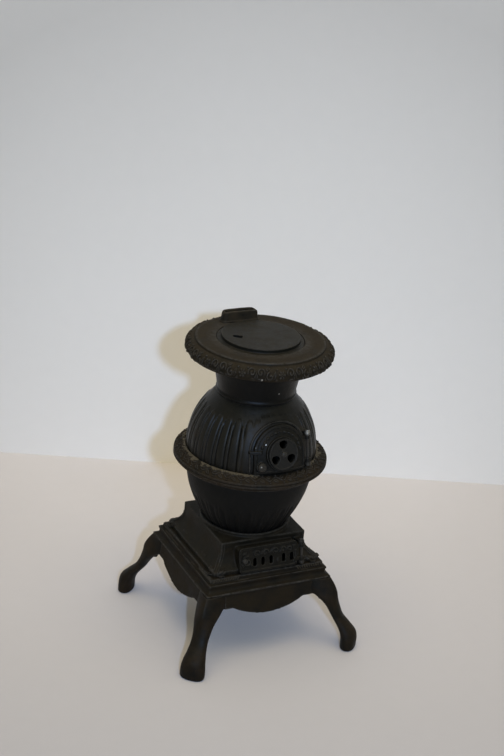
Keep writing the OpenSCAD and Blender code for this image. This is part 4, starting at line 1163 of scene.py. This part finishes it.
low_edge = [(71.9, 323.6), (72.3, 323.0), (74.0, 323.0)]
band = arc_points(rim_middle, rim_round, -50, 84, 56)
top = [(69.7, 338.45), (69.1, 338.5), (68.85, 338.9), (68.8, 340.5), (68.3, plate_top)]
top += [(radius, plate_top) for radius in (66.0, 62.0, 58.0, 47.3)]
top += [(46.7, 340.7), (46.6, 340.2), (46.6, 335.4), (40.4, 335.3), (40.2, 335.0), (40.2, 331.2),
        (40.4, 331.0), (66.2, 331.0), (66.2, 334.8), (69.0, 334.9)]
under = arc_points(rim_middle, 5.2, 80, -58, 10)
plate = turned("top_plate_casting", low_edge + band + top + under, 1040,
               (len(low_edge), len(low_edge) + len(band)))
plate_iron = cast_iron("plate_iron", (0.0041, 0.0036, 0.0023), (0.0156, 0.0109, 0.0052),
                       patch=0.55, dust=0.42, rub=1.25, relief=0.3, reach=0.028)
# A bare chip painted bright on the rim, standing as a glint: painted highlight.
chips_and_painted_glints(plate_iron, (-31.7, -70.5, 326.4, 1.3))
along = marked(plate, "along")
carve(plate, ornament(30.5, 12.9, 260, 110, rosettes_and_scrolls), 12, 0.45, 1.3, plate_iron,
      eased(along, 0.02, 0.1) * (1 - eased(along, 0.93, 0.99)))
flue_y = 53.5
cut_away(plate, prism_of("flue_hole", oblong(37.8, 7.8, 3.3), 325, 350, shift(0, flue_y, 0)), 55)
finished(uneven(plate, 0.22, 24, 10), plate_iron, "stove", "warm_iron", "top_plate")

# ---------- flue collar and lid ----------
# The oblong collar takes the stovepipe behind the lid. The lid lies loose in its seat, a flange
# under a raised disc, with a slanted pocket for the lifter.

collar_iron = cast_iron("collar_iron", (0.0103, 0.0096, 0.0076), (0.0297, 0.0225, 0.0131),
                        patch=0.45, dust=0.35, rub=0.6)
collar = cast_in_sand(copy_of("flue_collar", "flue_collar_casting"), 0.42, 9)
collar_height, collar_half = 11.5, 20.5
places = places_of(collar)
height = (places[:, 2] - plate_top) / collar_height
places[:, 0] *= 1.05 - 0.07 * height
places[:, 1] = flue_y + (places[:, 1] - flue_y) * (1.08 - 0.1 * height)
places[:, 2] -= np.clip(height, 0, 1) * 2.4 * np.abs(places[:, 0] / collar_half) ** 7
place_at(collar, places)
finished(uneven(collar, 0.15, 10, 11), collar_iron, "stove", "black_iron", "flue_collar")
lid_iron = cast_iron("lid_iron", (0.0062, 0.0064, 0.0050), (0.0113, 0.0104, 0.0064), patch=0.36,
                     dust=0.35, rub=0.9, rough=0.42, reach=0.04)
finished(uneven(cast_in_sand(copy_of("lid", "lid_casting"), 0.53), 0.25, 26, 12), lid_iron,
         "lid", "warm_iron", "lid")

# ---------- screws, bolts and nuts ----------
# Plain slotted round heads and square-cut nuts of mild steel, browned by heat, under the base and
# inside the stove.

bolt_steel = cast_iron("bolt_steel", (0.05, 0.046, 0.042), (0.06, 0.034, 0.018), patch=0.5,
                       dust=0.2, rub=0.8, rough=0.4, relief=0.12)
for node in ("leg_screws", "box_screws", "pot_bolts", "waist_bolts", "neck_bolts", "bolt_nuts",
             "top_screws"):
    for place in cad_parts[node].material_slots:
        place.material = bolt_steel
